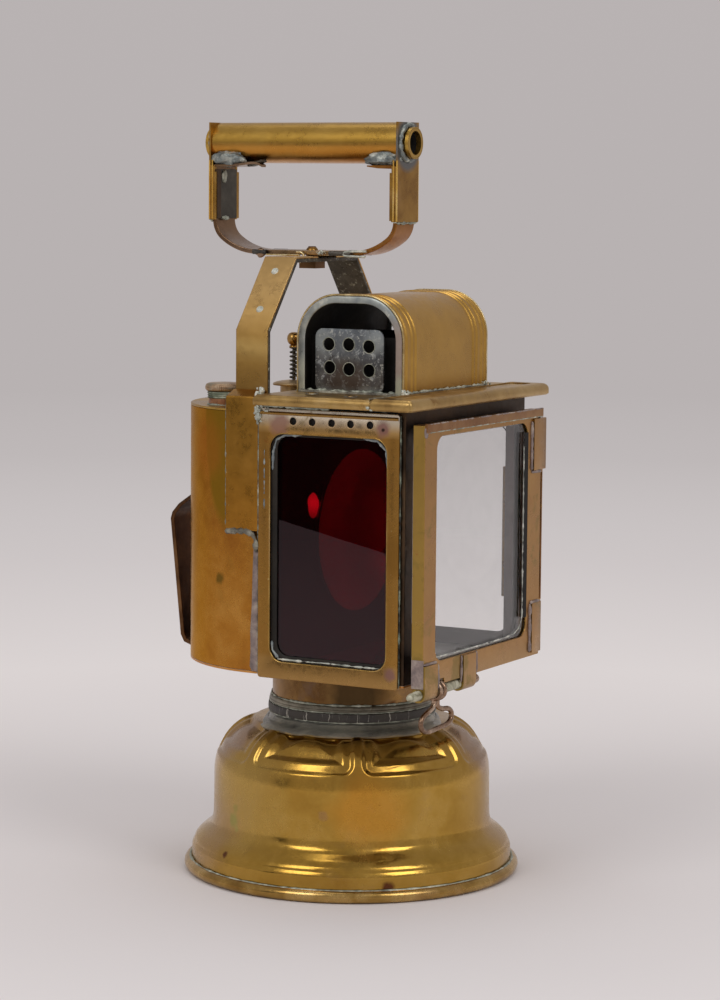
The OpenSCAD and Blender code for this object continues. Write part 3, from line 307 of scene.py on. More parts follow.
# The pale zones along UP at the plates' foot (92 to 104 mm) and top (199 to 207 mm) are painted light over the brass.
metal("plate", "704e20 966e34 b08846", "84603e 0.2 0.6", (0.22, 0.36), 13.3, 1, 0.2,
      stains="806830 0.3 70, 965424 0.14 120", specks="ceba84 0.3 420", zones=[(UP, 92, 104,
      "f0dcae 0, e0ca98 0.8, 966e34 1", 0.75), (UP, 199, 207, "966e34 0, be9a62 0.35, dcd4c2 1", 0.88)],
      spots="8c6460 -58 -46.4 202.9 3.2 0.85, 2c2220 -58 -46.4 202.9 0.8 0.9, 967064 -58 4.3 203 4.5 0.8, "
       "8c6864 -58 -50.6 99.4 2.6 0.8, 785422 -58 -52 150 9 0.5, 7c5824 -58 12 180 8 0.5")
metal("sheath", "865e22 9c712b b0823a", "a86a2e 0.2 0.5", (0.26, 0.38), 14.9, 1, 0.16, specks="ceba84 0.3 420",
      zones=[(UP, 156, 216, "be8030 0, 986c2a 0.5, a67c38 1", 0.5)])
metal("roof", "86663a b09058 c4a874", "967c6c 0.35 0.65", (0.3, 0.46), 16.3, 1, 0.25,
      stains="8c6634 0.35 90, c4b08c 0.2 210", specks="d6c496 0.2 380")
metal("door", "84582e 9a6e3c ae844e", "9e7254 0.3 0.5", (0.26, 0.4), 12.7, 0.7, 0.12,
      stains="8c763e 0.5 50, a2643a 0.24 70", specks="dcc496 0.2 380", zones=[(UP, 94, 104,
      "c4a476 0, be945c 1", 0.5)], sides=[(ACROSS, "a68844", 0.85)])
metal("strip", "7a5432 926842 a8825a", "ac866a 0.3 0.5", (0.26, 0.4), 18.8, 1, 0.16, stains="a07c3e 0.3 90")
# The olive patch 84661e, stretched up the tank's curved back at y 33 mm, is a painted reflection.
metal("tank", "945c24 ac742e bc863e", "966c2c 0.3 0.5", (0.2, 0.32), 17.9, 0.8, 0.2, stains="a66828 0.2 90",
      spots="605022 -53.6 36.7 133.8 2.4 0.75, 84661e -54 33 207 13.8 0.85 0.07 0.03 1 0 1 0.28, "
       "b2682c -50 46 190 12 0.4",
      edge="f2deb8")
metal("pale", "846842 ac9068 ceb892", "", (0.3, 0.5), 2.2)
metal("copper", "80543a ac7c5c cea486", "968a80 0.35 0.7", (0.24, 0.42), 4.2, 1.2, 0.3, size=0.4)
metal("cap", "7a5c44 a4886c c8b69c", "888e7e 0.4 0.8", (0.36, 0.56), 6.2, 1.6, 0.5, size=0.3)
metal("dark_brass", "3a261a 5c402a 846242", "5c4c42 0.3 0.6", (0.35, 0.55), 6.6, 1.2, 0.4)
# Near-black: painted shade for the baffle shadow plates, the liner plugs, the vent backs, the door's shade strip and
# the left glass clips; also given to the carbide basket.
metal("black", "0c0a09 120f0d 1a1613", "", (0.8, 0.95), 2.9, 1, 0.2, metallic=0)
solder("bright_solder", "80867c bcc0b4 e4e4d8", 0.9, 0.42, 0.35)
# A very dark brown for the front frame and the rear limb edge, which sit between other parts: painted shade.
metal("gap", "32281e 48382a 624e3a", "3e382e 0.3 0.6", (0.34, 0.5), 33.7, 1, 0.3)
metal("floor_sheet", "ac702e be7e34 ce9242", "", (0.3, 0.45), 34.7, 1, 0.2, sides=[(UP, "bebeba", 0.95)],
      metallic=0.35)
metal("flange_dark", "565248 767164 9c9686", "6e685a 0.3 0.5", (0.36, 0.52), 35.7, 1.2, 0.4,
      stains="bab8a6 0.14 260, 3e3628 0.2 120", size=0.5)
solder("dark_seam", "262620 3c3c32 8c9480", 0.7, 0.55, 0.3)
metal("sleeve", "845c22 a47c3a b89250", "aa8458 0.2 0.5", (0.26, 0.4), 22.7, 1, 0.16, stains="c4a070 0.14 200",
      spots="707476 0 -26 322.6 11.5 0.9 0.12 0.05")
# Much lighter than the sleeve's own brass: painted highlight for the thin lips along the sleeve edges.
metal("sleeve_lip", "ce963c eabe60 fade96", "", (0.2, 0.32), 23.7, 0.8, 0.1)
# The grip's ramp along UP paints light and shade: a pale painted reflection at the underside, a dark painted shade
# band just above it, orange lower down and gold towards the top.
metal("grip", "9c7632 b08a40 c09c52", "", (0.28, 0.34), 24.7, 0.3, 0.03, zones=[(UP, 314.2, 332.2,
      "cea282 0, bc8454 0.07, 623610 0.14, b06c22 0.26, c28438 0.4, be8e44 0.46, a68038 0.5, b28c3a 0.54, "
       "ba964e 1", 0.6)])
metal("bow", "745434 947044 b08c5c", "96745c 0.3 0.6", (0.24, 0.38), 25.7, 1, 0.2, stains="aa7030 0.14 60",
      zones=[(ALONG, -24, 69, "965e28 0, ba7a30 0.18, c4a880 0.34, 847054 0.6, 927c6e 0.78, 5c463a 1", 0.65)])
metal("limb", "3a3832 545048 706c62", "463626 0.3 0.6", (0.4, 0.56), 26.7, 1.2, 0.3, stains="8c8a78 0.12 200")
metal("far_leg", "383631 545048 747064", "463a2e 0.3 0.6", (0.5, 0.68), 27.7, 1.8, 0.5,
      stains="c4c4b2 0.46 420, 282620 0.24 200", size=0.5, metallic=0.5)
metal("tin_grey", "80807e 989896 acaca8", "747678 0.3 0.5", (0.34, 0.5), 28.7, 1, 0.3)
# A pale brass for thin wires along the edges of the hood and the bow: painted highlight.
metal("pale_edge_highlight", "b09664 ceb884 e8d8b0", "", (0.2, 0.34), 29.7, 0.8, 0.1, size=0.3)
solder("mauve_solder", "706462 92827c b0a296", 0.5, 0.5, 0.4)
solder("blue_solder", "4e5658 808682 ced0c4", 1, 0.42, 0.6)
metal("ring", "705846 987c66 c8b29c", "8c7c6c 0.3 0.6", (0.2, 0.34), 30.7, 1, 0.2, size=0.25)
metal("knob", "705024 967038 b08e54", "8c6e46 0.3 0.6", (0.24, 0.36), 31.7, 1, 0.2, size=0.3)
metal("dish_back", "22201e 302e2b 423e3a", "", (0.4, 0.55), 36.7, 1, 0.2)
solder("thread", "545c4c 8c9682 ced4c4", 1, 0.55, 0.4)
metal("zinc", "62605a 8a8a84 b4b2a8", "767062 0.3 0.6", (0.34, 0.52), 5, 1.3, 0.3,
      stains="c8c4b6 0.12 200, 5c5446 0.16 300", size=0.7)
metal("tinned", "686660 96948c b8b6ac", "706250 0.3 0.7", (0.36, 0.55), 8.1, 1.2, 0.35)
metal("galvanised", "32373c 565b5f 8a8d8a", "404244 0.4 0.7", (0.42, 0.62), 1.7, 1.6, 0.4,
      stains="b4b8b6 0.48 300, cecec4 0.42 620, 302a24 0.3 240", size=0.4, zones=[(UP, 216, 244,
      "c4c4b8 0, 544638 0.12, 4e4844 0.45, 848c92 1", 0.5)], metallic=0.7,
      spots="4a3828 -35.8 -16 221 9 0.7, b0b6b4 -35.8 -30 238 5 0.5, a8aeac -35.8 -4 239 5 0.5")
metal("soot", "181614 28241f 3e3830", "3c4248 0.2 0.5", (0.6, 0.8), 2.6, 1.2, 0.3, metallic=0.4)
metal("hood_flange", "7e8688 a6aaa4 cecec2", "808688 0.3 0.6", (0.36, 0.54), 10.7, 1.4, 0.4,
      stains="d6d4c6 0.36 220, 4a4e4e 0.26 160", size=0.6,
      spots="a48e82 -39.5 -44 232 15 0.75, bac0ac -39.5 -44 218 6 0.7, ced0be -39.5 5 222 8 0.75")
metal("steel", "2e2c2a 4c4a46 706c64", "544232 0.3 0.6", (0.4, 0.6), 9.3, 1.4, 0.4, size=0.6,
      stains="969286 0.1 260")
metal("rim", "765428 aa884a ccac70", "9c7652 0.3 0.5", (0.16, 0.3), 1.9, 0.4, 0.08, stains="8c6034 0.12 60")
metal("fillet", "70706a 9a988e c4beae", "6e6858 0.35 0.6", (0.28, 0.44), 15, 1, 0.3,
      stains="c6c0ac 0.16 220, 706244 0.2 120", size=0.7, metallic=0.7)
solder("putty", "545c60 7a8284 a0a6a2", 0.5, 0.6, 0.1)
solder("solder", "686c62 9ea292 ced0c0", 0.7, 0.5, 0.45)
solder("dark_solder", "4e4a42 787468 a8a696", 0.8, 0.52, 0.5)
solder("rod", "78745c c2c0a8 e8e6d6", 1, 0.62, 0.1)
glint_lug_look()
rubber_look()
plain("ceramic", (260, 4, 0.6), "c4b89e e2dac6", (0.55, 0.55), 0, (0.3, 0.1))
plain("dish", (50, 5, 0.6, 0.4, 2), "cccac4 eceae4", (0.4, 0.46), 0.6, (0.1, 0.2))
glass("red_glass", "680208", "f6d6de")
glass("clear_glass", "fafafa", "ffffff")

NODE_LOOK = {
    "gold": "base_shell base_pan valve_stem",
    "neck": "neck_tube",
    "satin": "hood",
    # The left glass clips get the near-black painted shade while the same clips on the right are tin grey.
    "black": "carbide_basket left_glass_clips",
    "tin_grey": "right_glass_clips",
    "arch": "arch_skins",
    "bright_solder": "arch_rivets",
    "sleeve": "bow_sleeves",
    "grip": "grip_tube",
    "bow": "bow_strap",
    "far_leg": "arch_strap",
    "plate": "left_window_plate right_window_plate",
    "sheath": "side_brackets",
    "olive": "grip_liner tank_lid",
    "limb": "grip_gussets",
    "roof": "roof_plate roof_front_cap",
    "gap": "front_frame",
    "soot": "left_wall right_wall rear_wall",
    "door": "door_frame hinge_straps hinge_leaf latch_straps",
    "strip": "door_top_strip",
    "tank": "tank_shell",
    "pale": "valve_boss",
    "dark_brass": "swivel_rivet rear_loop",
    "copper": "pull_ring filler_neck",
    "cap": "filler_cap",
    "zinc": "base_collar neck_flange",
    "floor_sheet": "house_floor",
    "tinned": "drip_tube burner_tube door_glass_bead",
    "galvanised": "baffles",
    "steel": "hinge_pin bow_clips valve_spring",
    "rod": "latch_rod",
    "rubber": "gasket",
    "ceramic": "burner_tip",
    "dish": "reflector",
    "red_glass": "red_glass",
    "clear_glass": "clear_glass door_glass",
}
BEVELS_MM = {
    0.35: "neck_flange base_collar neck_tube tank_shell tank_lid door_frame front_frame side_brackets rear_loop "
          "bow_strap arch_strap arch_skins baffles bow_sleeves swivel_rivet",
    0.2: "latch_straps door_top_strip hinge_straps hinge_leaf filler_cap valve_boss house_floor rear_wall left_wall "
         "right_wall door_glass_bead left_glass_clips right_glass_clips burner_tube drip_tube carbide_basket",
}


def dress_nodes():
    for look, names in NODE_LOOK.items():
        for name in names.split():
            materials = nodes[name].data.materials
            materials.clear()
            materials.append(looks[look])
    for width, names in BEVELS_MM.items():
        for name in names.split():
            modifiers = nodes[name].modifiers
            modifiers.new("weld", "WELD").merge_threshold = 0.01 * MM
            bevel = modifiers.new("bevel", "BEVEL")
            bevel.width = width * MM
            bevel.segments = 3
            bevel.limit_method = "ANGLE"
            bevel.angle_limit = radians(38)
            bevel.use_clamp_overlap = True
            modifiers.new("even", "WEIGHTED_NORMAL").weight = 60


dress_nodes()


# ---------------------------------------------------------------- floor and light

def floor():
    look = Look("pale_floor")
    look.tree.nodes.remove(look.shader)
    away = look.vector("LENGTH", look.vector("MULTIPLY", look.place, (1, 1, 0)), out=1)
    last_tone_m = 4
    part = look.math("DIVIDE", away, last_tone_m)
    tone = look.ramp(part, "cec8c8 0, d1cccc 0.05, dad6d5 0.105, ccc6c6 0.27, beb8b8 0.5, b8b2b2 0.75")
    lit = look.ramp(part, "e2dddd 0, e5e1e1 0.05, f8f4f3 0.14, f6f1f1 0.27")
    flat = look.node("BsdfDiffuse", {"Color": lit}).outputs[0]
    glow = look.node("Emission", {"Color": tone, "Strength": 1}).outputs[0]
    mixer = look.node("MixShader", {0: look.band(away, 0.5, 1.3), 1: flat, 2: glow}).outputs[0]
    look.put(look.out.inputs[0], mixer)
    mesh = bpy.data.meshes.new("floor")
    build = bmesh.new()
    bmesh.ops.create_circle(build, cap_ends=True, radius=30, segments=96)
    build.to_mesh(mesh)
    build.free()
    mesh.materials.append(look.mat)
    link("floor", mesh)


def reflection_only_dark_card():
    """A dark sheet that only glossy rays see: a painted reflection of the table's dark edge."""
    look = Look("reflection_only_dark_card")
    look.finish("0a0808", 0.9, 0)
    mesh = bpy.data.meshes.new("reflection_only_dark_card")
    left, right, rise = Vector((-1.494, 1.010, 0)), Vector((-1.045, 0.460, 0)), Vector((0, 0, 0.32))
    mesh.from_pydata([left, right, right + rise, left + rise], [], [(0, 1, 2, 3)])
    mesh.materials.append(look.mat)
    card = link("reflection_only_dark_card", mesh)
    card.visible_camera = card.visible_diffuse = card.visible_shadow = card.visible_transmission = False


def room():
    world = bpy.data.worlds.new("pale_room")
    scene.world = world
    world.use_nodes = True
    tree = world.node_tree
    tree.nodes.clear()
    coord, split, ramp, back, out = (tree.nodes.new("ShaderNode" + kind) for kind in (
        "TexCoord", "SeparateXYZ", "ValToRGB", "Background", "OutputWorld"))
    for output, node in ((coord.outputs["Generated"], split), (split.outputs[2], ramp), (ramp.outputs[0], back),
                         (back.outputs[0], out)):
        tree.links.new(output, node.inputs[0])
    fill(ramp.color_ramp, "b8b2b2 0, bab4b4 0.25, b0acac 1")


def lamp(name, azimuth, height, distance, size, power):
    """A soft box that looks at the lantern. Lengths are metres."""
    data = bpy.data.lights.new(name, "AREA")
    data.shape = "RECTANGLE"
    data.size, data.size_y = size
    data.energy = power
    turn, aim = radians(azimuth), Vector((0, 0, 0.15))
    made = link(name, data)
    made.location = place = Vector((distance * cos(turn), distance * sin(turn), height))
    made.rotation_euler = (place - aim).to_track_quat("Z", "Y").to_euler()


floor()
reflection_only_dark_card()
room()
lamp("left_box", 167.3, 1.35, 1.45, (0.7, 0.9), 7)
lamp("right_box", 251.3, 1.35, 1.45, (0.7, 0.9), 7)
lamp("top_box", 30, 1.9, 0.35, (1, 1), 6)


# ---------------------------------------------------------------- lines in mm

def line(x, y, z):
    """Points from three coordinates, each a number or a row of numbers."""
    count = max(len(v) for v in (x, y, z) if isinstance(v, tuple))
    return list(zip(*(v if isinstance(v, tuple) else (v,) * count for v in (x, y, z))))


def circle_x(x, y, z, r, steps):
    """A ring of points about an axis along x."""
    return [(x, y + r * cos(2 * pi * i / steps), z + r * sin(2 * pi * i / steps)) for i in range(steps)]


def circle_y(x, y, z, r, steps):
    return [(x + r * cos(2 * pi * i / steps), y, z + r * sin(2 * pi * i / steps)) for i in range(steps)]


def circle_z(x, y, z, r, steps):
    return [(x + r * cos(2 * pi * i / steps), y + r * sin(2 * pi * i / steps), z) for i in range(steps)]


def arc(cx, cy, degrees, rx, ry=None):
    return [(cx + rx * cos(radians(a)), cy + (ry or rx) * sin(radians(a))) for a in degrees]


def spline(points, steps):
    """A smooth line through the points."""
    pts = [Vector(p) for p in points]
    out = []
    for i in range(len(pts) - 1):
        a, b, c, d = pts[max(i - 1, 0)], pts[i], pts[i + 1], pts[min(i + 2, len(pts) - 1)]
        for t in (k / steps for k in range(steps)):
            out.append(0.5 * (2 * b + (c - a) * t + (2 * a - 5 * b + 4 * c - d) * t * t
                              + (3 * b - a - 3 * c + d) * t ** 3))
    return out + [pts[-1]]


def round_loop(cx, cy, w, h, r, steps=8):
    """The outline of a rectangle with round corners about a centre."""
    out = []
    for sx, sy, start in ((1, 1, 0), (-1, 1, 90), (-1, -1, 180), (1, -1, 270)):
        for k in range(steps + 1):
            a = radians(start + 90 * k / steps)
            out.append((cx + (sx * (w / 2 - r) + r * cos(a)), cy + (sy * (h / 2 - r) + r * sin(a))))
    return out


def level_loop(x0, x1, y0, y1, r, z):
    return [(x, y, z) for x, y in round_loop((x0 + x1) / 2, (y0 + y1) / 2, x1 - x0, y1 - y0, r, 6)]


def smoothstep(t):
    t = min(max(t, 0), 1)
    return t * t * (3 - 2 * t)


def wave(p, scale, seed=0):
    return noise.noise(Vector((p[0] * scale + seed, p[1] * scale + seed * 0.7, p[2] * scale - seed)))


# ---------------------------------------------------------------- shapes, as points in mm and faces

def weave(rows, n, round_rows, round_n):
    """Faces between rows of n points. The rows, and the points in a row, may close into a ring."""
    faces = []
    for i in range(rows if round_rows else rows - 1):
        j = (i + 1) % rows
        for k in range(n if round_n else n - 1):
            m = (k + 1) % n
            faces.append((i * n + k, j * n + k, j * n + m, i * n + m))
    return faces


def caps(rows, n):
    return [tuple(range(n - 1, -1, -1)), tuple(range((rows - 1) * n, rows * n))]


def lathe(profile, segments=120, centre=(0, 0), closed=True, shape=None):
    """Turns an (r, z) profile about a vertical axis. shape(r, z, angle) may move a point."""
    points = []
    for a in (2 * pi * i / segments for i in range(segments)):
        for r, z in profile:
            if shape:
                r, z = shape(r, z, a)
            points.append((centre[0] + r * cos(a), centre[1] + r * sin(a), z))
    return points, weave(segments, len(profile), True, closed)


def sweep(path, radius, sides=10, closed=False):
    """A round tube along a path. radius may be a number or one number for each point."""
    path = [Vector(p) for p in path]
    last = len(path) - 1
    points, up = [], None
    for i, p in enumerate(path):
        way = path[(i + 1) % len(path)] - path[i - 1] if closed else path[min(i + 1, last)] - path[max(i - 1, 0)]
        way.normalize()
        if up is None:
            up = way.orthogonal().normalized()
        up = (up - way * up.dot(way)).normalized()
        side = way.cross(up)
        r = radius[i] if isinstance(radius, list) else radius
        for a in (2 * pi * k / sides for k in range(sides)):
            points.append(p + up * (r * cos(a)) + side * (r * sin(a)))
    return points, weave(len(path), sides, closed, True) + ([] if closed else caps(len(path), sides))


def loft(rings, closed=False):
    """Joins rings of points, each with the same number of points."""
    faces = [(a, d, c, b) for a, b, c, d in weave(len(rings), len(rings[0]), closed, True)]
    return [p for ring in rings for p in ring], faces


def solid(rings):
    """A loft with closed ends."""
    points, faces = loft(rings)
    return points, faces + caps(len(rings), len(rings[0]))


def bar(x0, x1, y0, y1, levels):
    return solid([[(x0, y0, z), (x1, y0, z), (x1, y1, z), (x0, y1, z)] for z in levels])


def join(*parts):
    """Joins shapes into one."""
    points, faces = [], []
    for p, f in parts:
        faces += [tuple(i + len(points) for i in face) for face in f]
        points += p
    return points, faces


def tray(x0, x1, y0, y1, low_z, top_z, hole, bend=2.4, thick=0.8, corner=1.2):
    """A sheet with a bull-nosed edge bent down all round, and a hole: x0, x1, y0, y1 of both."""
    def ring(inset, z):
        return level_loop(x0 + inset, x1 - inset, y0 + inset, y1 - inset, max(corner - inset * 0.3, 0.5), z)

    rings = [level_loop(*hole, 3, top_z - thick), level_loop(*hole, 3, top_z)]
    for a in (radians(a) for a in range(0, 91, 15)):
        rings.append(ring(bend * (1 - sin(a)), top_z - bend * (1 - cos(a))))
    rings += [ring(0, low_z + 0.3), ring(0.3, low_z), ring(thick, low_z)]
    for a in (radians(a) for a in range(90, -1, -30)):
        rings.append(ring(thick + (bend - thick) * (1 - sin(a)), top_z - thick - (bend - thick) * (1 - cos(a))))
    return loft(rings, closed=True)


# ---------------------------------------------------------------- pieces

def settle(name, mesh, look, body, replaces, angle, groups=None):
    """Makes an object of a mesh. groups: {look: face numbers} for further materials."""
    groups = groups or {}
    mesh.materials.clear()
    for key in (look, *groups):
        mesh.materials.append(looks[key])
    for at, numbers in enumerate(groups.values(), 1):
        for i in numbers:
            mesh.polygons[i].material_index = at
    build = bmesh.new()
    build.from_mesh(mesh)
    bmesh.ops.remove_doubles(build, verts=build.verts, dist=0.002 * MM)
    bmesh.ops.recalc_face_normals(build, faces=build.faces)
    for face in build.faces:
        face.smooth = True
    limit = radians(angle)
    for edge in build.edges:
        edge.smooth = len(edge.link_faces) != 2 or edge.calc_face_angle(0) < limit
    build.to_mesh(mesh)
    build.free()
    made = link(name, mesh)
    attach(made, body)
    if replaces:
        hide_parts(*replaces.split())


def piece(name, shape, look, body="lantern", replaces="", angle=35, groups=None):
    points, faces = shape
    mesh = bpy.data.meshes.new(name)
    mesh.from_pydata([tuple(c * MM for c in p) for p in points], [], faces)
    settle(name, mesh, look, body, replaces, angle, groups)


def wire(name, path, radius, sides, look, body="lantern", closed=False, replaces=""):
    piece(name, sweep(path, radius, sides, closed), look, body, replaces, 80)


def plate(name, loops, thick, soft, x, look, replaces):
    """A flat plate across x, from the (y, z) outline and its holes, with rounded edges."""
    curve = bpy.data.curves.new(name + "_line", "CURVE")
    curve.dimensions = "2D"
    curve.fill_mode = "BOTH"
    curve.extrude = (thick / 2 - soft) * MM
    curve.bevel_depth = soft * MM
    curve.bevel_resolution = 2
    curve.offset = -soft * MM
    for loop in loops:
        border = curve.splines.new("POLY")
        border.points.add(len(loop) - 1)
        border.use_cyclic_u = True
        for point, (u, v) in zip(border.points, loop):
            point.co = (u * MM, v * MM, 0, 1)
    holder = bpy.data.objects.new(name + "_line", curve)
    mesh = bpy.data.meshes.new_from_object(holder)
    bpy.data.objects.remove(holder)
    bpy.data.curves.remove(curve)
    turn = Matrix(((0, 0, 1, x), (1, 0, 0, 0), (0, 1, 0, 0), (0, 0, 0, 1)))
    turn.translation *= MM
    mesh.transform(turn)
    mesh.name = name
    settle(name, mesh, look, "lantern", replaces, 30)


def seam(name, path, radius, rough, seed, look="solder", body="lantern", closed=False, step=1):
    """A ragged bead of solder along a path."""
    path = [Vector(p) for p in path]
    dense = []
    for a, b in zip(path, path[1:] + path[:1] * closed):
        n = max(1, int((b - a).length / step))
        dense += [a.lerp(b, k / n) for k in range(n)]
    dense += path[-1:] * (not closed)
    radii = [radius * (1 + rough * (wave(p, 0.55, seed) + 0.6 * wave(p, 1.4, seed + 4))) for p in dense]
    if not closed:
        end_share = 0.4
        radii[0] *= end_share
        radii[-1] *= end_share
    wire(name, dense, radii, 8, look, body, closed)


def cast(name, build, look, body):
    mesh = bpy.data.meshes.new(name)
    build.to_mesh(mesh)
    build.free()
    settle(name, mesh, look, body, "", 80)


def lump(name, centre, size, seed, look="solder", body="handle", rough=0.22, turn=None):
    """A blob of solder."""
    build = bmesh.new()
    bmesh.ops.create_icosphere(build, subdivisions=4, radius=1)
    for vert in build.verts:
        p = vert.co.copy()
        grow = 1 + rough * (noise.noise(p * 1.7 + Vector((seed, seed, 0)))
                            + 0.5 * noise.noise(p * 4 + Vector((0, seed, seed))))
        p = Vector((p.x * size[0], p.y * size[1], p.z * size[2])) * grow
        if turn:
            p.rotate(turn)
        vert.co = (p + Vector(centre)) * MM
    cast(name, build, look, body)


def splash(name, centre, size, count, seed, grain=1, body="lantern"):
    """Many small ragged drops of solder, run together."""
    build = bmesh.new()

    def dice(i, k):
        return (sin(i * 12.9898 + k * 4.1414 + seed * 78.233) * 43758.5453) % 1

    for i in range(count):
        off = Vector([(dice(i, k) * 2 - 1) * size[k] for k in range(3)])
        r = grain * (0.45 + 0.55 * dice(i, 5)) * (1.15 - 0.6 * off.length / max(size))
        for vert in bmesh.ops.create_icosphere(build, subdivisions=3, radius=1)["verts"]:
            p = vert.co.copy()
            grow = (1 + 0.35 * noise.noise(p * 1.6 + Vector((seed, i, 0)))
                    + 0.2 * noise.noise(p * 4 + Vector((i, seed, seed))))
            vert.co = (Vector((p.x * r, p.y * r, p.z * r * (0.7 + dice(i, 7)))) * grow + off + Vector(centre)) * MM
    cast(name, build, "bright_solder", body)


# ---------------------------------------------------------------- base

def base_pieces():
    foot = spline([(r, 0, z) for r, z in (
        (71.6, 4.9), (71.55, 7), (71.5, 9.4), (71.45, 10.9), (71.1, 11.9), (70.65, 12.7), (70.45, 13.3), (70.3, 13.8),
        (69.8, 14.7), (69, 15.6), (67.5, 17), (65.8, 18.3), (64.1, 19.7), (62.9, 21.3), (62.3, 23.2), (62, 25.4),
        (61.85, 29), (61.75, 35), (61.7, 44))], 4)
    dome_r, dome_z, wide, high = 39.7, 44, 22, 24.2
    outer = [(p.x, p.z) for p in foot][:-1] + arc(dome_r, dome_z, range(91), wide, high)
    outer += [(38.6, 68.2), (37.2, 68.2), (34, 68.2)]
    pitch, ridge, turn = radians(360 / 7), radians(2.6), radians(32 + 180 / 7)
    tiers = ((0, 2.4, 1.1), (4.8, 4.6, 1.5))
    corner = 5.5

    def stamped(r, z, a):
        """Sinks the shoulder's seven panels, in two steps that follow the dome."""
        if z < 50 or r < 37:
            return r, z
        t = acos(min(max((r - dome_r) / wide, -1), 1)) if r > dome_r else pi / 2
        up = 23.1 * (t - asin(8.2 / high)) + max(0, dome_r - r)
        part = (a - turn) % pitch
        across = (min(part, pitch - part) - ridge / 2) * max(r, 46)
        if up <= 0 or across <= 0:
            return r, z
        inside = min(across, up)
        if across < corner and up < corner:
            inside = corner - hypot(corner - across, corner - up)
        drop = sum(depth * smoothstep((inside - at) / width) for at, width, depth in tiers)
        drop = (drop - 0.9 * smoothstep((inside - 9.5) / 9)) * smoothstep((r - 43.4) / 3)
        return r - drop * cos(t), z - drop * sin(t)

    top = lathe(outer, 840, closed=False, shape=stamped)
    inner = [(r - 1, z if z < 44 else z - 1.6) for r, z in outer[::6]] + [(34, 66.4)]
    shell = join(top, lathe([(r - (2.2 if z > 52 else 0), z) for r, z in inner], closed=False))
    piece("shell_skin", shell, "gold", "base", "base_shell", 50,
          {"tinned": range(len(top[1]), len(shell[1]))})

    rim = [(0, 0), (30, 0), (69.6, 0)] + arc(72.3, 2.7, range(-80, 116, 8), 2.7)
    rim += [(70.6, 5.2), (70.4, 1.3), (0, 1.3)]
    piece("rim_roll", lathe(rim, 180), "rim", "base", "base_pan", 40)
    seam("rim_joint", circle_z(0, 0, 5.15, 72.25, 180), 0.62, 0.5, 3.3, body="base", closed=True, step=1.6)

    ring = [(30.5, 57.2), (32.2, 57.2), (32.35, 68.4), (36.3, 68.6)] + arc(36, 70.4, range(-20, 100, 20), 0.75)
    ring += [(33, 71.18), (30.5, 71.15)]
    piece("collar_ring", lathe(ring, 160), "zinc", "base", "base_collar", 40)
    fillet = spline([(r, 0, z) for r, z in ((36.3, 70.9), (37, 70.45), (37.9, 69.7), (39.2, 69), (41, 68.55),
                                            (43.2, 68.25), (45.2, 67.7), (46.4, 67.1))], 4)
    front = radians(209)

    def uneven(r, z, a):
        """Makes the cove ragged, and narrow at the back."""
        push = wave((cos(a) * 37, sin(a) * 37, 0), 0.16)
        reach = 0.3 + 0.7 * smoothstep(max(0, cos(a - front)) * 1.6)
        out = 36.3 + (r - 36.3) * reach
        return (out + 0.5 * push, z - 0.12 * push + 0.5 * (1 - reach)) if r > 40.5 else (out, z)

    cove = lathe([(p.x, p.z) for p in fillet] + [(46, 66.4), (36.3, 66.4)], 200, shape=uneven)
    piece("collar_fillet", cove, "fillet", "base", angle=60)

    bulge = [(36.9 + 0.7 * cos(radians(a)) ** 0.5, 73.3 + 2.07 * sin(radians(a))) for a in range(-88, 89, 8)]
    piece("gasket_ring", lathe([(30.4, 71.22)] + bulge + [(30.4, 75.38)], 160), "rubber", "seal",
          "gasket", 40)
    flange = [(28, 58.2), (30, 58.2), (30, 75.3), (30.2, 75.42), (36.6, 75.42)]
    flange += arc(36.3, 76.4, range(-70, 70, 20), 0.9) + [(36.9, 77.6), (36.7, 78.3), (36.1, 78.75), (28, 78.78)]
    piece("neck_ring", lathe(flange, 160), "flange_dark", replaces="neck_flange", angle=40)
    for name, r, z, thick, body in (("top", 36, 78.9, 0.42, "lantern"), ("low", 36.9, 75.7, 0.3, "lantern"),
                                    ("gasket", 37.3, 71.4, 0.26, "base")):
        seam("neck_ring_line_" + name, circle_z(0, 0, z, r, 90), thick, 1.3, z, body=body, closed=True)


base_pieces()


# ---------------------------------------------------------------- roof and hood

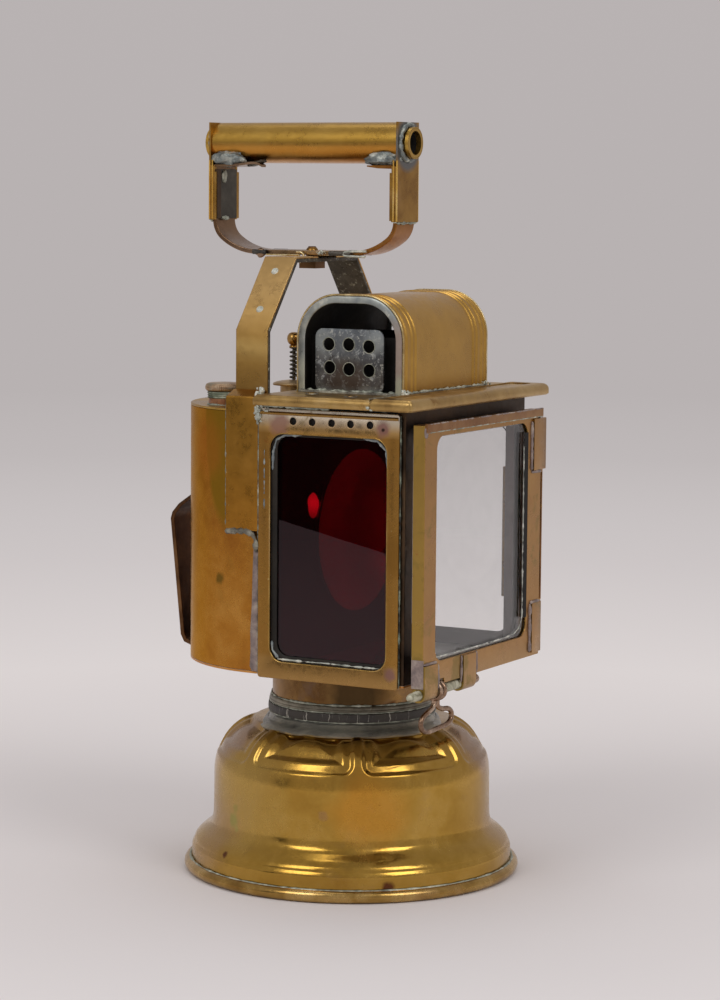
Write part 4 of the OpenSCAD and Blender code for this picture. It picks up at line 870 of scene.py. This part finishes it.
def hood_pieces():
    half, y0, y1, top, r = 39.5, -45, 6, 257.7, 19
    feet = (215.95, 218, 220, 224, 228, 233)
    turns = [radians(a) for a in range(0, 91, 5)]
    outline = [((y0, z), (-1, 0)) for z in feet]
    outline += [((y0 + r - r * cos(t), top - r + r * sin(t)), (-cos(t), sin(t))) for t in turns]
    outline.append((((y0 + y1) / 2, top), (0, 1)))
    outline += [((y1 - r + r * cos(t), top - r + r * sin(t)), (cos(t), sin(t))) for t in reversed(turns)]
    outline += [((y1, z), (1, 0)) for z in reversed(feet)]

    def bead(x):
        out = 0
        for inset, height, width in ((4.4, 0.6, 1.5), (9.2, 0.6, 1.3), (12.6, 0.6, 1.3)):
            for at in (-half + inset, half - inset):
                if abs(x - at) < width:
                    out += height * (0.5 + 0.5 * cos(pi * (x - at) / width))
        if x > half - 2.4:
            out += 0.5 * smoothstep((x - half + 2.4) / 1.4)
        return out

    xs = [-half + 0.8 + 0.3 * i for i in range(47)]
    xs = xs + [xs[-1] + (2 * -xs[-1]) * k / 12 for k in range(1, 12)] + [-x for x in reversed(xs)]
    section = [(x, bead(x)) for x in xs]
    outside = len(section)
    section += [(half - 0.25, 0.3), (half, -0.4), (half, -2.9), (half - 0.3, -3.2), (half - 0.8, -3),
                (half - 0.9, -0.9)]
    far = len(section)
    section += [(-half + 0.9, -0.9), (-half + 0.8, -3), (-half + 0.3, -3.2), (-half, -2.9), (-half, -0.7),
                (-half + 0.25, -0.2)]
    n = len(section)
    rows = range(0, n * (len(outline) - 1), n)
    soot = {i + far - 1 for i in rows}
    flange = {i + k for i in rows for k in range(outside, n)} - soot
    rings = [[(x, y + ny * o, z + nz * o) for x, o in section] for (y, z), (ny, nz) in outline]
    piece("hood_skin", solid(rings), "satin", replaces="hood", angle=40,
          groups={"soot": soot, "hood_flange": flange})
    lining = [[(x, y - ny * o, z - nz * o) for x, o in ((-38.3, 1), (38.3, 1), (38.3, 1.15), (-38.3, 1.15))]
              for (y, z), (ny, nz) in outline]
    piece("hood_lining", solid(lining), "soot")

    holes = ((-7.5, 236.7), (-17.3, 236.8), (-27.2, 236.2), (-8, 226.7), (-17.5, 226.2), (-27.4, 225.9))
    for sign, name in ((-1, "near"), (1, "far")):
        x, end, back = sign * 35.8, sign * 39, sign * 30
        cuts = [[(y, z) for _, y, z in circle_x(0, *hole, 2.85, 32)] for hole in holes]
        plate("baffle_" + name, [round_loop(-17.6, 229.8, 33.6, 27.2, 3.6, 6)] + cuts, 1, 0.15, x, "galvanised",
              "baffles" if sign < 0 else "")
        rims = [sweep(circle_x(x + sign * 0.55, *hole, 2.9, 28), 0.17, 6, True) for hole in holes]
        piece("baffle_rims_" + name, join(*rims), "solder", angle=80)
        piece("baffle_foot_" + name, bar(x, end, -34.2, -1, (216.1, 216.9)), "hood_flange")
        foot = line(end * 0.995, (-42, -34, -26, -18, -10, -2, 4), 216.6)
        seam("baffle_foot_solder_" + name, foot, 0.75, 1, 3 + sign)
        shut = [[(x, -43.9, 216.2), (x, 4.9, 216.2), (x, 4.9, 240), (x, -43.9, 240)]
                for x in (back, back - sign * 0.4)]
        piece("baffle_shadow_" + name, solid(shut), "black")
    # Pale wires along the hood's side edges: painted highlight lines.
    for name, x in (("far", half - 0.35), ("near", -half + 0.5)):
        edge = [(x, y + ny * 0.45, z + nz * 0.45) for (y, z), (ny, nz) in outline]
        wire("hood_rim_" + name, edge, 0.42, 8, "pale_edge_highlight")
    for name, y, z, x0, x1, radius, rough, seed, look in (
            ("front", -45 - 0.7, 216.7, -39, 39, 0.7, 1.1, 1.2, "solder"),
            ("front_thin", -45 - 1.8, 216.7, -35, 36, 0.35, 1.4, 5.2, "dark_solder"),
            ("rear", 6 + 0.8, 216.2, -39, 39, 0.8, 0.9, 2.9, "solder")):
        seam("hood_foot_" + name, [(x0 + (x1 - x0) * k / 16, y, z) for k in range(17)], radius, rough, seed, look)
    for name, x in (("near", -39.9), ("far", 39.9)):
        sill = line((x, x - 0.4, x, x - 0.4, x), (-43, -30, -18, -6, 5), (216.1, 216, 216, 216, 216.1))
        seam("hood_sill_" + name, sill, 0.9, 0.6, 7.1, "dark_solder")
    splash("hood_corner_solder", (-38.6, -46, 216.8), (2.6, 1.2, 0.8), 12, 4.4)
    splash("hood_corner_solder_far", (37.5, -46, 217), (3.2, 1.2, 1), 14, 8.4)


def roof_pieces():
    piece("roof_skin", tray(-65.7, 65.7, -63.5, 13.4, 211.3, 215.9, (-27, 27, -31.8, -7.2)), "roof",
          replaces="roof_plate", angle=50)
    cap = tray(-66.3, 66.3, -64.1, -43.5, 211.7, 216.5, (-60, 60, -58.5, -47.6), 2.6, 0.55, 1.6)
    piece("roof_cap_skin", cap, "roof", replaces="roof_front_cap", angle=50)
    dome = [(0, 216.75), (1, 216.7), (1.8, 216.45), (2.3, 216.1), (2.4, 215.8), (0, 215.8)]
    for i, (x, y) in enumerate(((-49.4, -6.9), (-55.1, -29.2), (49.4, -6.9), (55.1, -29.2))):
        piece("roof_rivet_%d" % i, lathe(dome, 28, (x, y), closed=False), "roof")
        seam("roof_rivet_ring_%d" % i, circle_z(x, y, 215.95, 2.6, 20), 0.3, 0.8, i + 1.5, "dark_solder", closed=True)
    for sign, name in ((-1, "left"), (1, "right")):
        edge = [(sign * 57.6, y, 210.7 + 0.2 * sin(y)) for y in (13, 6, 0, -8, -15, -20)]
        seam("roof_edge_solder_" + name, edge, 0.75, 0.9, 3 + sign)
        seam("roof_edge_solder_thin_" + name, line(sign * 57.2, (-20, -30, -42, -52), 210.9), 0.4, 0.9, 6 + sign,
             "dark_solder")
    splash("roof_cap_solder", (-66, -44, 212.2), (0.3, 1.8, 0.7), 8, 2.2, 0.7)
    seam("roof_cap_step", line((-65.6, -56, -46), (-43.5, -43.4, -43.4), 216.1), 0.3, 0.9, 9.9, "dark_solder")


hood_pieces()
roof_pieces()


# ---------------------------------------------------------------- windows

def window_pieces():
    y_mid, z_mid, w, h = -19.75, 149.6, 57.4, 98.8
    vents = [(y, 204.6) for y in (-2.6, -12, -21.5, -30.7, -40.1)]
    for sign, side in ((-1, "left"), (1, "right")):
        loops = [round_loop(y_mid, 151.3, 68.9, 117, 1.2, 4), round_loop(y_mid, z_mid, w, h, 6.5)]
        loops += [[(y, z) for _, y, z in circle_x(0, *vent, 1.7, 24)] for vent in vents]
        plate(side + "_plate_skin", loops, 1.58, 0.35, sign * 57.3, "plate", side + "_window_plate")
        loop = [(sign * 57.75, y_mid + u * 1.004, z_mid + v * 1.003) for u, v in round_loop(0, 0, w, h, 6.6)]
        wire(side + "_window_roll", loop, 0.38, 10, "rim", closed=True)
        rail = line(sign * 57.9, (-53.8, -40, -20, 0, 14.3), 207.7)
        wire(side + "_plate_rail", rail, 0.8, 14, "arch")
        rims = [sweep(circle_x(sign * 58, *vent, 1.8, 24), 0.2, 6, True) for vent in vents]
        piece(side + "_vent_rims", join(*rims), "plate", angle=80)

        def bead(name, x, y, z, radius, rough, seed, look="putty", slot="grey_zinc"):
            path = [(sign * px, py, pz) for px, py, pz in line(x, y, z)]
            seam(side + "_" + name, path, radius, rough, seed + sign, look)

        bead("sill_solder", 56.6, (5.5, -6, -20, -34, -45), (101.2, 101.1, 101.3, 101.1, 101.2), 0.4, 1.3, 2,
             "bright_solder")
        bead("pane_putty", 56.6, (8.3, 8, 6.4, 2, -6), (183, 191, 196.2, 198.4, 198.7), 0.55, 0.9, 5)
        bead("pane_putty_front", 56.6, (-36, -43, -47.2, -47.9), (198.7, 198, 194, 186), 0.45, 0.9, 6.4)
        bead("pane_putty_low", 56.6, (8.3, 8, 5), (109, 105, 101.6), 0.5, 0.9, 8.4)
        # Black discs behind the vent holes: painted shade inside the vents.
        disc, faces = lathe([(0, -0.1), (2.1, -0.1), (2.1, 0.1), (0, 0.1)], 20, closed=False)
        discs = [([(sign * 56.66 + pz, y + px, z + py) for px, py, pz in disc], faces) for y, z in vents]
        piece(side + "_vent_shade_plug", join(*discs), "black")
        bead("edge_solder", 57.7, 14.9, (213, 200, 185, 170, 155), 0.5, 0.6, 4, "solder")
        bead("edge_solder_low", 57, 15.1, (155, 140, 120, 100, 94), 0.45, 0.8, 7, "dark_solder")
        bead("smear", 57.75, 11.6, (193, 186, 178, 170, 165), 0.4, 0.9, 8)
        for name, x, y, z, size, count, seed, grain in (
                ("", 58, 13.8, 214, (1, 1.6, 4), 26, 3, 1.5),
                ("_low", 57.9, 14.8, 207, (0.7, 1.6, 4.4), 24, 6, 1.35),
                ("_in", 57.9, 11.6, 209.4, (0.5, 3.2, 0.9), 12, 9, 0.7)):
            splash(side + "_top_solder" + name, (sign * x, y, z), size, count, seed + sign, grain)
        bead("sheath_foot", (58.3, 58.4, 58.4, 58.1, 57.6, 57.3), (31.2, 26, 20.5, 17.4, 15.9, 15.9),
             (155.4, 155.8, 156, 154.8, 151.6, 147), 1.35, 0.6, 1.3, "dark_solder")
        wedge = [[(sign * 56.7, y, z), (sign * 57.35, y - 0.4, z), (sign * 57.35, 15.2, z), (sign * 56.7, 15, z)]
                 for y, z in ((17.6, 150), (18.1, 138), (18.4, 125), (19.2, 112), (19, 104), (19.4, 97), (18.4, 95))]
        piece(side + "_grey_wedge", solid(wedge), "mauve_solder", angle=60)
        bead("sheath_edge", 58.3, 30.8, (214, 200, 185, 170, 157), 0.26, 1.5, 2, "dark_solder", "olive_brass")
        bead("front_edge", 57.3, -54.5, (209, 190, 160, 130, 100, 94), 0.36, 1.1, 9, "dark_seam")


window_pieces()


# ---------------------------------------------------------------- handle

def handle_pieces():
    for side, y_face, y_back, out in (("front", -25.55, -23.9, 0.3), ("rear", 69.95, 68.5, -0.3)):
        for sign, hand in ((-1, "left"), (1, "right")):
            for part, y in (("outer", y_face), ("inner", y_back)):
                # Thin lips along the sleeve edges in the lighter look: painted highlight lines.
                wire("sleeve_lip_%s_%s_%s" % (side, hand, part), line(sign * 9.62, y, (289.2, 295, 303, 311, 315.5)),
                     0.42, 10, "sleeve_lip", "handle")
            seam("sleeve_foot_%s_%s" % (side, hand), [(sign * 9.5, y_face, 288.8), (sign * 9.6, y_back, 288.6)],
                 0.5, 0.9, 2 + sign, body="handle")
        seam("sleeve_foot_" + side, line((-9, -4, 0, 4, 9), y_face + out, 288.5), 0.6, 1, 4.7, body="handle")
    grip_z = 323.2
    for name, y, lip_y, out in (("front", -26, -29.1, -1), ("rear", 70.4, 73.5, 1)):
        seam("liner_solder_" + name, circle_y(0, y + out * 0.1, grip_z, 7.6, 40), 1.15, 0.6, 3, "blue_solder",
             "handle", closed=True)
        wire("liner_lip_" + name, circle_y(0, lip_y, grip_z, 6.5, 40), 0.44, 10, "rim", "handle", True)
        # A black plug a little way inside each end of the liner: painted shade inside the tube.
        dark = [circle_y(0, lip_y - out * d, grip_z, r, 40) for d, r in ((2, 5.15), (12, 5.1), (12, 0.1))]
        piece("liner_shade_plug_" + name, loft(dark), "black", "handle", angle=60)
    for name, x, y, z, size, seed, rough in (
            ("rear", -6.6, 61.2, 316.2, (4.4, 8.8, 3.8), 1.2, 0.3),
            ("rear_right", 6.4, 61.6, 315.7, (4.2, 8.4, 2.6), 3.2, 0.25),
            ("front", -6.6, -17.2, 316.2, (4.4, 8.4, 3.3), 5.2, 0.25),
            ("front_right", 6.4, -17.2, 315.9, (4.2, 8, 2.3), 7.2, 0.25)):
        lump("grip_solder_" + name, (x, y, z), size, seed, "blue_solder", rough=rough)
    rings = []
    for p in spline(line(0, (68, 60, 54, 49, 45.5, 43), (313, 313.1, 313.6, 314.2, 314, 312.9)), 5):
        w = 9.4 - 7.6 * smoothstep((58 - p.y) / 12)
        x = -9.2 + w
        low, top = p.z - 0.5, p.z + 0.5
        rings.append([(x - w, p.y, low), (x + w, p.y, low), (x + w, p.y, top), (x - w, p.y, top)])
    piece("grip_tongue_rear", solid(rings), "bow", "handle", "grip_gussets", 40)
    block = [[(-9.3, y, z), (9.3, y, z), (9.3, y, 313.4), (-9.3, y, 313.4)]
             for y, z in ((-23, 311.9), (-16, 312.1), (-10.5, 312.8))]
    piece("grip_tongue_front", solid(block), "bow", "handle", angle=40)
    edge = bar(-9.3, -6.1, 66.1, 67.2, (289.4, 300, 311.4))
    piece("limb_edge_rear", edge, "gap", "handle", angle=40)
    lump("grip_tongue_tip", (-6.4, 47.2, 314.2), (2.6, 5, 1.1), 9.2, "limb", rough=0.2,
         turn=Matrix.Rotation(radians(-14), 3, "X"))
    limb = bar(-6, 7.4, 66.2, 67.4, (289.4, 298, 306, 311.4))
    piece("limb_strip_rear", limb, "limb", "handle", angle=40)
    lump("limb_solder_rear", (-3.2, 66.2, 308.4), (2.1, 0.7, 3), 2.6)
    lump("limb_solder_low", (-2.2, 66.2, 289.6), (3, 0.7, 1), 4.6)

    dome = [(0, 277.5), (1.2, 277.4), (2.1, 277), (2.6, 276.3), (2.7, 275.6), (0, 275.6)]
    piece("swivel_head", lathe(dome, 32, (0, 22.2), closed=False), "knob", "handle")
    clip = line((-9.6, -9.7, -9.7, -9.7, -9.7, -9.7, -9.6), (-10.6, -5, -0.6, 0.6, -0.4, -5, -10.2),
                (276, 275.9, 275.6, 274.7, 273.9, 273.7, 273.6))
    wire("clip_wire", spline(clip, 6), 0.55, 10, "bright_solder", "handle")
    splash("clip_solder_front", (-9.2, 12.6, 275), (1, 2.3, 0.8), 16, 6.1, 0.65, "handle")
    lump("clip_wrap_rear", (-9, 43.4, 274.5), (1, 2.7, 2), 6.6, "bow")
    # Pale wires along the bow's fold and lower edge: painted highlight lines.
    fold = spline(line(-9.7, (24.6, 22, 20.9, 21.4, 23.2), (275.1, 274.9, 273.5, 271.7, 270.7)), 5)
    wire("bow_fold_highlight", fold, 0.5, 8, "pale_edge_highlight", "handle")
    splash("far_leg_spot", (33.6, 24.5, 267.4), (0.6, 1.8, 1.8), 8, 7.7)
    wire("bow_low_edge_highlight", line(-9.4, (40.4, 34, 28, 23), 273.8), 0.4, 8, "pale_edge_highlight", "handle")


# ---------------------------------------------------------------- door, rod and ring

def door_pieces():
    putty = line((-46, -30, -14.7, 5, 20, 28, 33, 36, 36.2, 36.1, 36.1, 36.1), -66.2,
                 (106.7, 106.4, 106.3, 106.2, 106.4, 106.9, 108.8, 112.5, 118, 140, 165, 190))
    seam("door_putty_line", putty, 0.24, 1.6, 3.3, "bright_solder", "door")
    # A black strip beside the putty line: painted shade of the door opening's inner edge.
    piece("door_painted_shade_edge", bar(36.6, 40.4, -66.3, -66.1, (113, 140, 170, 196)), "black", "door")
    for name, right, z0, z1 in (("low", 54.4, 96.1, 118.6), ("high", 57.4, 178.6, 201.6)):
        outline = ((45, -66.15), (45, -67.05), (right - 0.5, -67.05), (right, -66.8),
                   (right + (59 - right) * 0.3, -65.4), (58.9, -64.4), (59.4, -62.7), (58.7, -61), (57, -60.3),
                   (55.3, -61), (54.6, -62.7), (54.8, -64.3), (54, -66.1))
        rings = [[(57 + (x - 57) * s, -64 + (y + 64) * s, z) for x, y in outline]
                 for z, s in ((z0, 0.97), (z0 + 0.3, 1), (z1 - 0.3, 1), (z1, 0.97))]
        piece("hinge_strap_" + name, solid(rings), "door", "door",
              "hinge_straps" if name == "low" else "", 30)
    for name, x0, z0, x1, z1, r in (
            ("latch_left_side", -44.3, 103.6, -44.3, 92.6, 0.8), ("latch_left_top", -57.2, 104.6, -45.4, 104.6, 0.6),
            ("latch_right_left", -22.4, 104.4, -22.6, 92.4, 0.65),
            ("latch_right_right", -8.6, 104.4, -8.6, 94.4, 0.75),
            ("hinge_low_left", 43.9, 118.6, 43.9, 96.6, 0.9), ("hinge_low_top", 44, 119, 53.4, 119, 0.75),
            ("hinge_high_left", 43.9, 200.6, 43.9, 178.6, 0.8), ("hinge_high_low", 44, 177.9, 53.4, 177.9, 0.8)):
        path = [(x0 + (x1 - x0) * k / 10, -66.25, z0 + (z1 - z0) * k / 10) for k in range(11)]
        seam("door_solder_" + name, path, r, 0.5, len(name) * 0.7, "mauve_solder", "door")
    flange = [[(-57.35, -66.3, z), (-57.35, -60.6, z), (-57.6, -60.6, z), (-57.6, -66.3, z)]
              for z in (94.4, 98, 103, 106.6)]
    piece("door_corner_solder", solid(flange), "mauve_solder", "door", angle=40)
    wire("hinge_barrel_light", line(56.3, -65.2, (119.6, 130, 145, 160, 177)), 0.5, 10, "strip")
    for x, name in ((-57, "left"), (52.6, "right")):
        lump("door_strip_solder_" + name, (x, -66.4, 202.6), (1.3, 0.7, 2.4), x, "mauve_solder", "door")
    for z, name, look in ((206, "top", "mauve_solder"), (202.5, "low", "solder")):
        seam("door_strip_edge_" + name, line((-57.4, -30, 0, 30, 52.8), -67.1, z), 0.27, 0.9, z, look, "door")

    rod_y, rod_z = -63.8, 91.6
    lengths = ((-66.6, 0.2), (-66.2, 0.9), (-65, 1.5), (-63, 1.9), (-60.5, 2.1), (-58, 2.15), (-52, 2.15),
               (-46, 2.15), (-40, 2.15), (-30, 2.15), (-23.4, 2.15), (-22.8, 1.75), (-22.4, 1.75), (-21.8, 2.15),
               (-12, 2.15), (-6.5, 2.15), (-4.6, 2.1), (-4, 1.8), (-3.9, 0.1))
    dense = []
    for (xa, ra), (xb, rb) in zip(lengths, lengths[1:]):
        n = max(1, int((xb - xa) / 0.6))
        dense += [(xa + (xb - xa) * k / n, ra + (rb - ra) * k / n) for k in range(n)]
    rings = []
    for x, r in dense + [lengths[-1]]:
        ring = []
        for a in (2 * pi * i / 24 for i in range(24)):
            worn = r * (1 + 0.10 * min(wave((x, 3 * cos(a), 3 * sin(a)), 0.6, 4.2), 0))
            ring.append((x, rod_y + worn * cos(a), rod_z + worn * sin(a)))
        rings.append(ring)
    points, faces = solid(rings)
    bare_end = {i for i, face in enumerate(faces) if min(points[k][0] for k in face) > -9.5}
    piece("latch_rod_skin", (points, faces), "rod", "door", "latch_rod", 60, {"ring": bare_end})

    wire_r, ring_x = 1.12, -41.2
    eyes = [sweep(circle_x(x, rod_y, rod_z, 3.42, 32), wire_r, 12, True) for x in (ring_x - 1.9, ring_x + 1.6)]
    loop = spline([(ring_x + x, rod_y, rod_z - drop) for x, drop in (
        (-1.9, 3.6), (-1.8, 5.6), (-3.4, 7.3), (-7.6, 8.6), (-11.8, 10.1), (-13.4, 12.6), (-11.4, 15.8), (-6.5, 16.9),
        (2, 16.6), (10, 16.2), (14, 14.6), (14.4, 11.6), (11.4, 9.6), (6.4, 8.9), (2.4, 7.6), (1.3, 5.8),
        (1.6, 3.6))], 6)
    piece("pull_ring_wire", join(*eyes, sweep(loop, wire_r, 12)), "ring", "ring", "pull_ring", 80)


# ---------------------------------------------------------------- tank top, valve and dish

def tank_pieces():
    x, y, valve_y = -36, 45.6, 31.3

    def knurl(r, z, a):
        return (r - 0.22 * (0.5 + 0.5 * cos(a * 56)) - 0.12 * wave((a * 9, z, 0), 1), z) if r >= 7 else (r, z)

    disc = [(0, 218), (4, 218.05), (6.8, 217.9), (7.9, 217.4), (8.35, 216.4), (8.3, 215.2), (7.7, 214.5),
            (6.3, 214.3)]
    skirt = [(6.3, 214.4), (7.3, 214.1), (7.5, 213.6), (7, 213.2), (7.4, 212.7), (7, 212.2), (7.35, 211.7),
             (6.9, 211.2), (6, 211), (6, 214.4)]
    top = lathe(disc, 336, (x, y), closed=False, shape=knurl)
    cap = join(top, lathe(skirt, 80, (x, y)))
    piece("cap_knurled", cap, "cap", "cap", "filler_cap", 50,
          {"thread": range(len(top[1]), len(cap[1]))})
    seam("filler_foot_solder", circle_z(x, y, 208.4, 7.1, 40), 0.5, 0.9, 2.4, closed=True)

    boss = [(0.85, 102.9), (2.88, 102.9), (2.9, 208.2), (6, 208.3), (6.1, 215.3), (9.2, 215.5), (9.45, 216),
            (9.1, 216.5), (7.8, 217), (5.5, 217.45), (3, 217.75), (0.85, 217.78)]
    piece("boss_dome", lathe(boss, 72, (0, valve_y)), "pale", replaces="valve_boss", angle=40)
    seam("boss_solder", circle_z(0, valve_y, 208.6, 6.4, 36), 0.5, 0.9, 4.4, closed=True)
    stem = [(0, 205.9), (0.72, 205.9), (0.75, 231.6), (1.9, 231.9), (2.2, 232.4), (2, 233.1), (1.5, 233.5),
            (2.3, 233.9), (2.9, 234.9), (3.15, 236.2), (2.95, 237.5), (2.2, 238.6), (1.1, 239.1), (0, 239.15)]
    points, faces = lathe(stem, 48, (0, valve_y), closed=False)
    shank = {i for i, face in enumerate(faces) if max(points[k][2] for k in face) < 232.5}
    piece("valve_knob", (points, faces), "knob", "valve", "valve_stem", 50, {"far_leg": shank})
    coil = []
    for i in range(141):
        turn = 2 * pi * i / 20
        r = 1.6 + 0.1 * wave((i * 0.11, 0, 0), 1)
        z = 218.3 + 13.1 * i / 140 + 0.12 * wave((i * 0.07, 5, 0), 1)
        coil.append((r * cos(turn), valve_y + r * sin(turn), z))
    wire("valve_coil", coil, 0.42, 8, "far_leg", "valve", replaces="valve_spring")

    cx, rim_y, cz, curve_r, rim_r = -1, -3.9, 152.6, 53.3, 35.9
    span = asin(rim_r / curve_r)
    bowl = [(rim_y + curve_r * (cos(t) - cos(span)), curve_r * sin(t)) for t in (span * i / 32 for i in range(33))]
    rings = [circle_y(cx, y, cz, max(r, 0.05), 96) for y, r in bowl] + [circle_y(cx, rim_y, cz, rim_r + 0.5, 96)]
    rings += [circle_y(cx, y + 0.7, cz, max(r * 1.005, 0.05), 96) for y, r in reversed(bowl)]
    piece("dish_skin", loft(rings), "dish_back", replaces="reflector", angle=50,
          groups={"dish": range(32 * 96)})
    # A lump beside the dish whose look glows: a painted highlight.
    lump("dish_side_glint_lug", (-31, 2.5, 166), (1.1, 2.7, 5.6), 1.9, "glint_lug", "lantern", 0.12)


handle_pieces()
door_pieces()
tank_pieces()
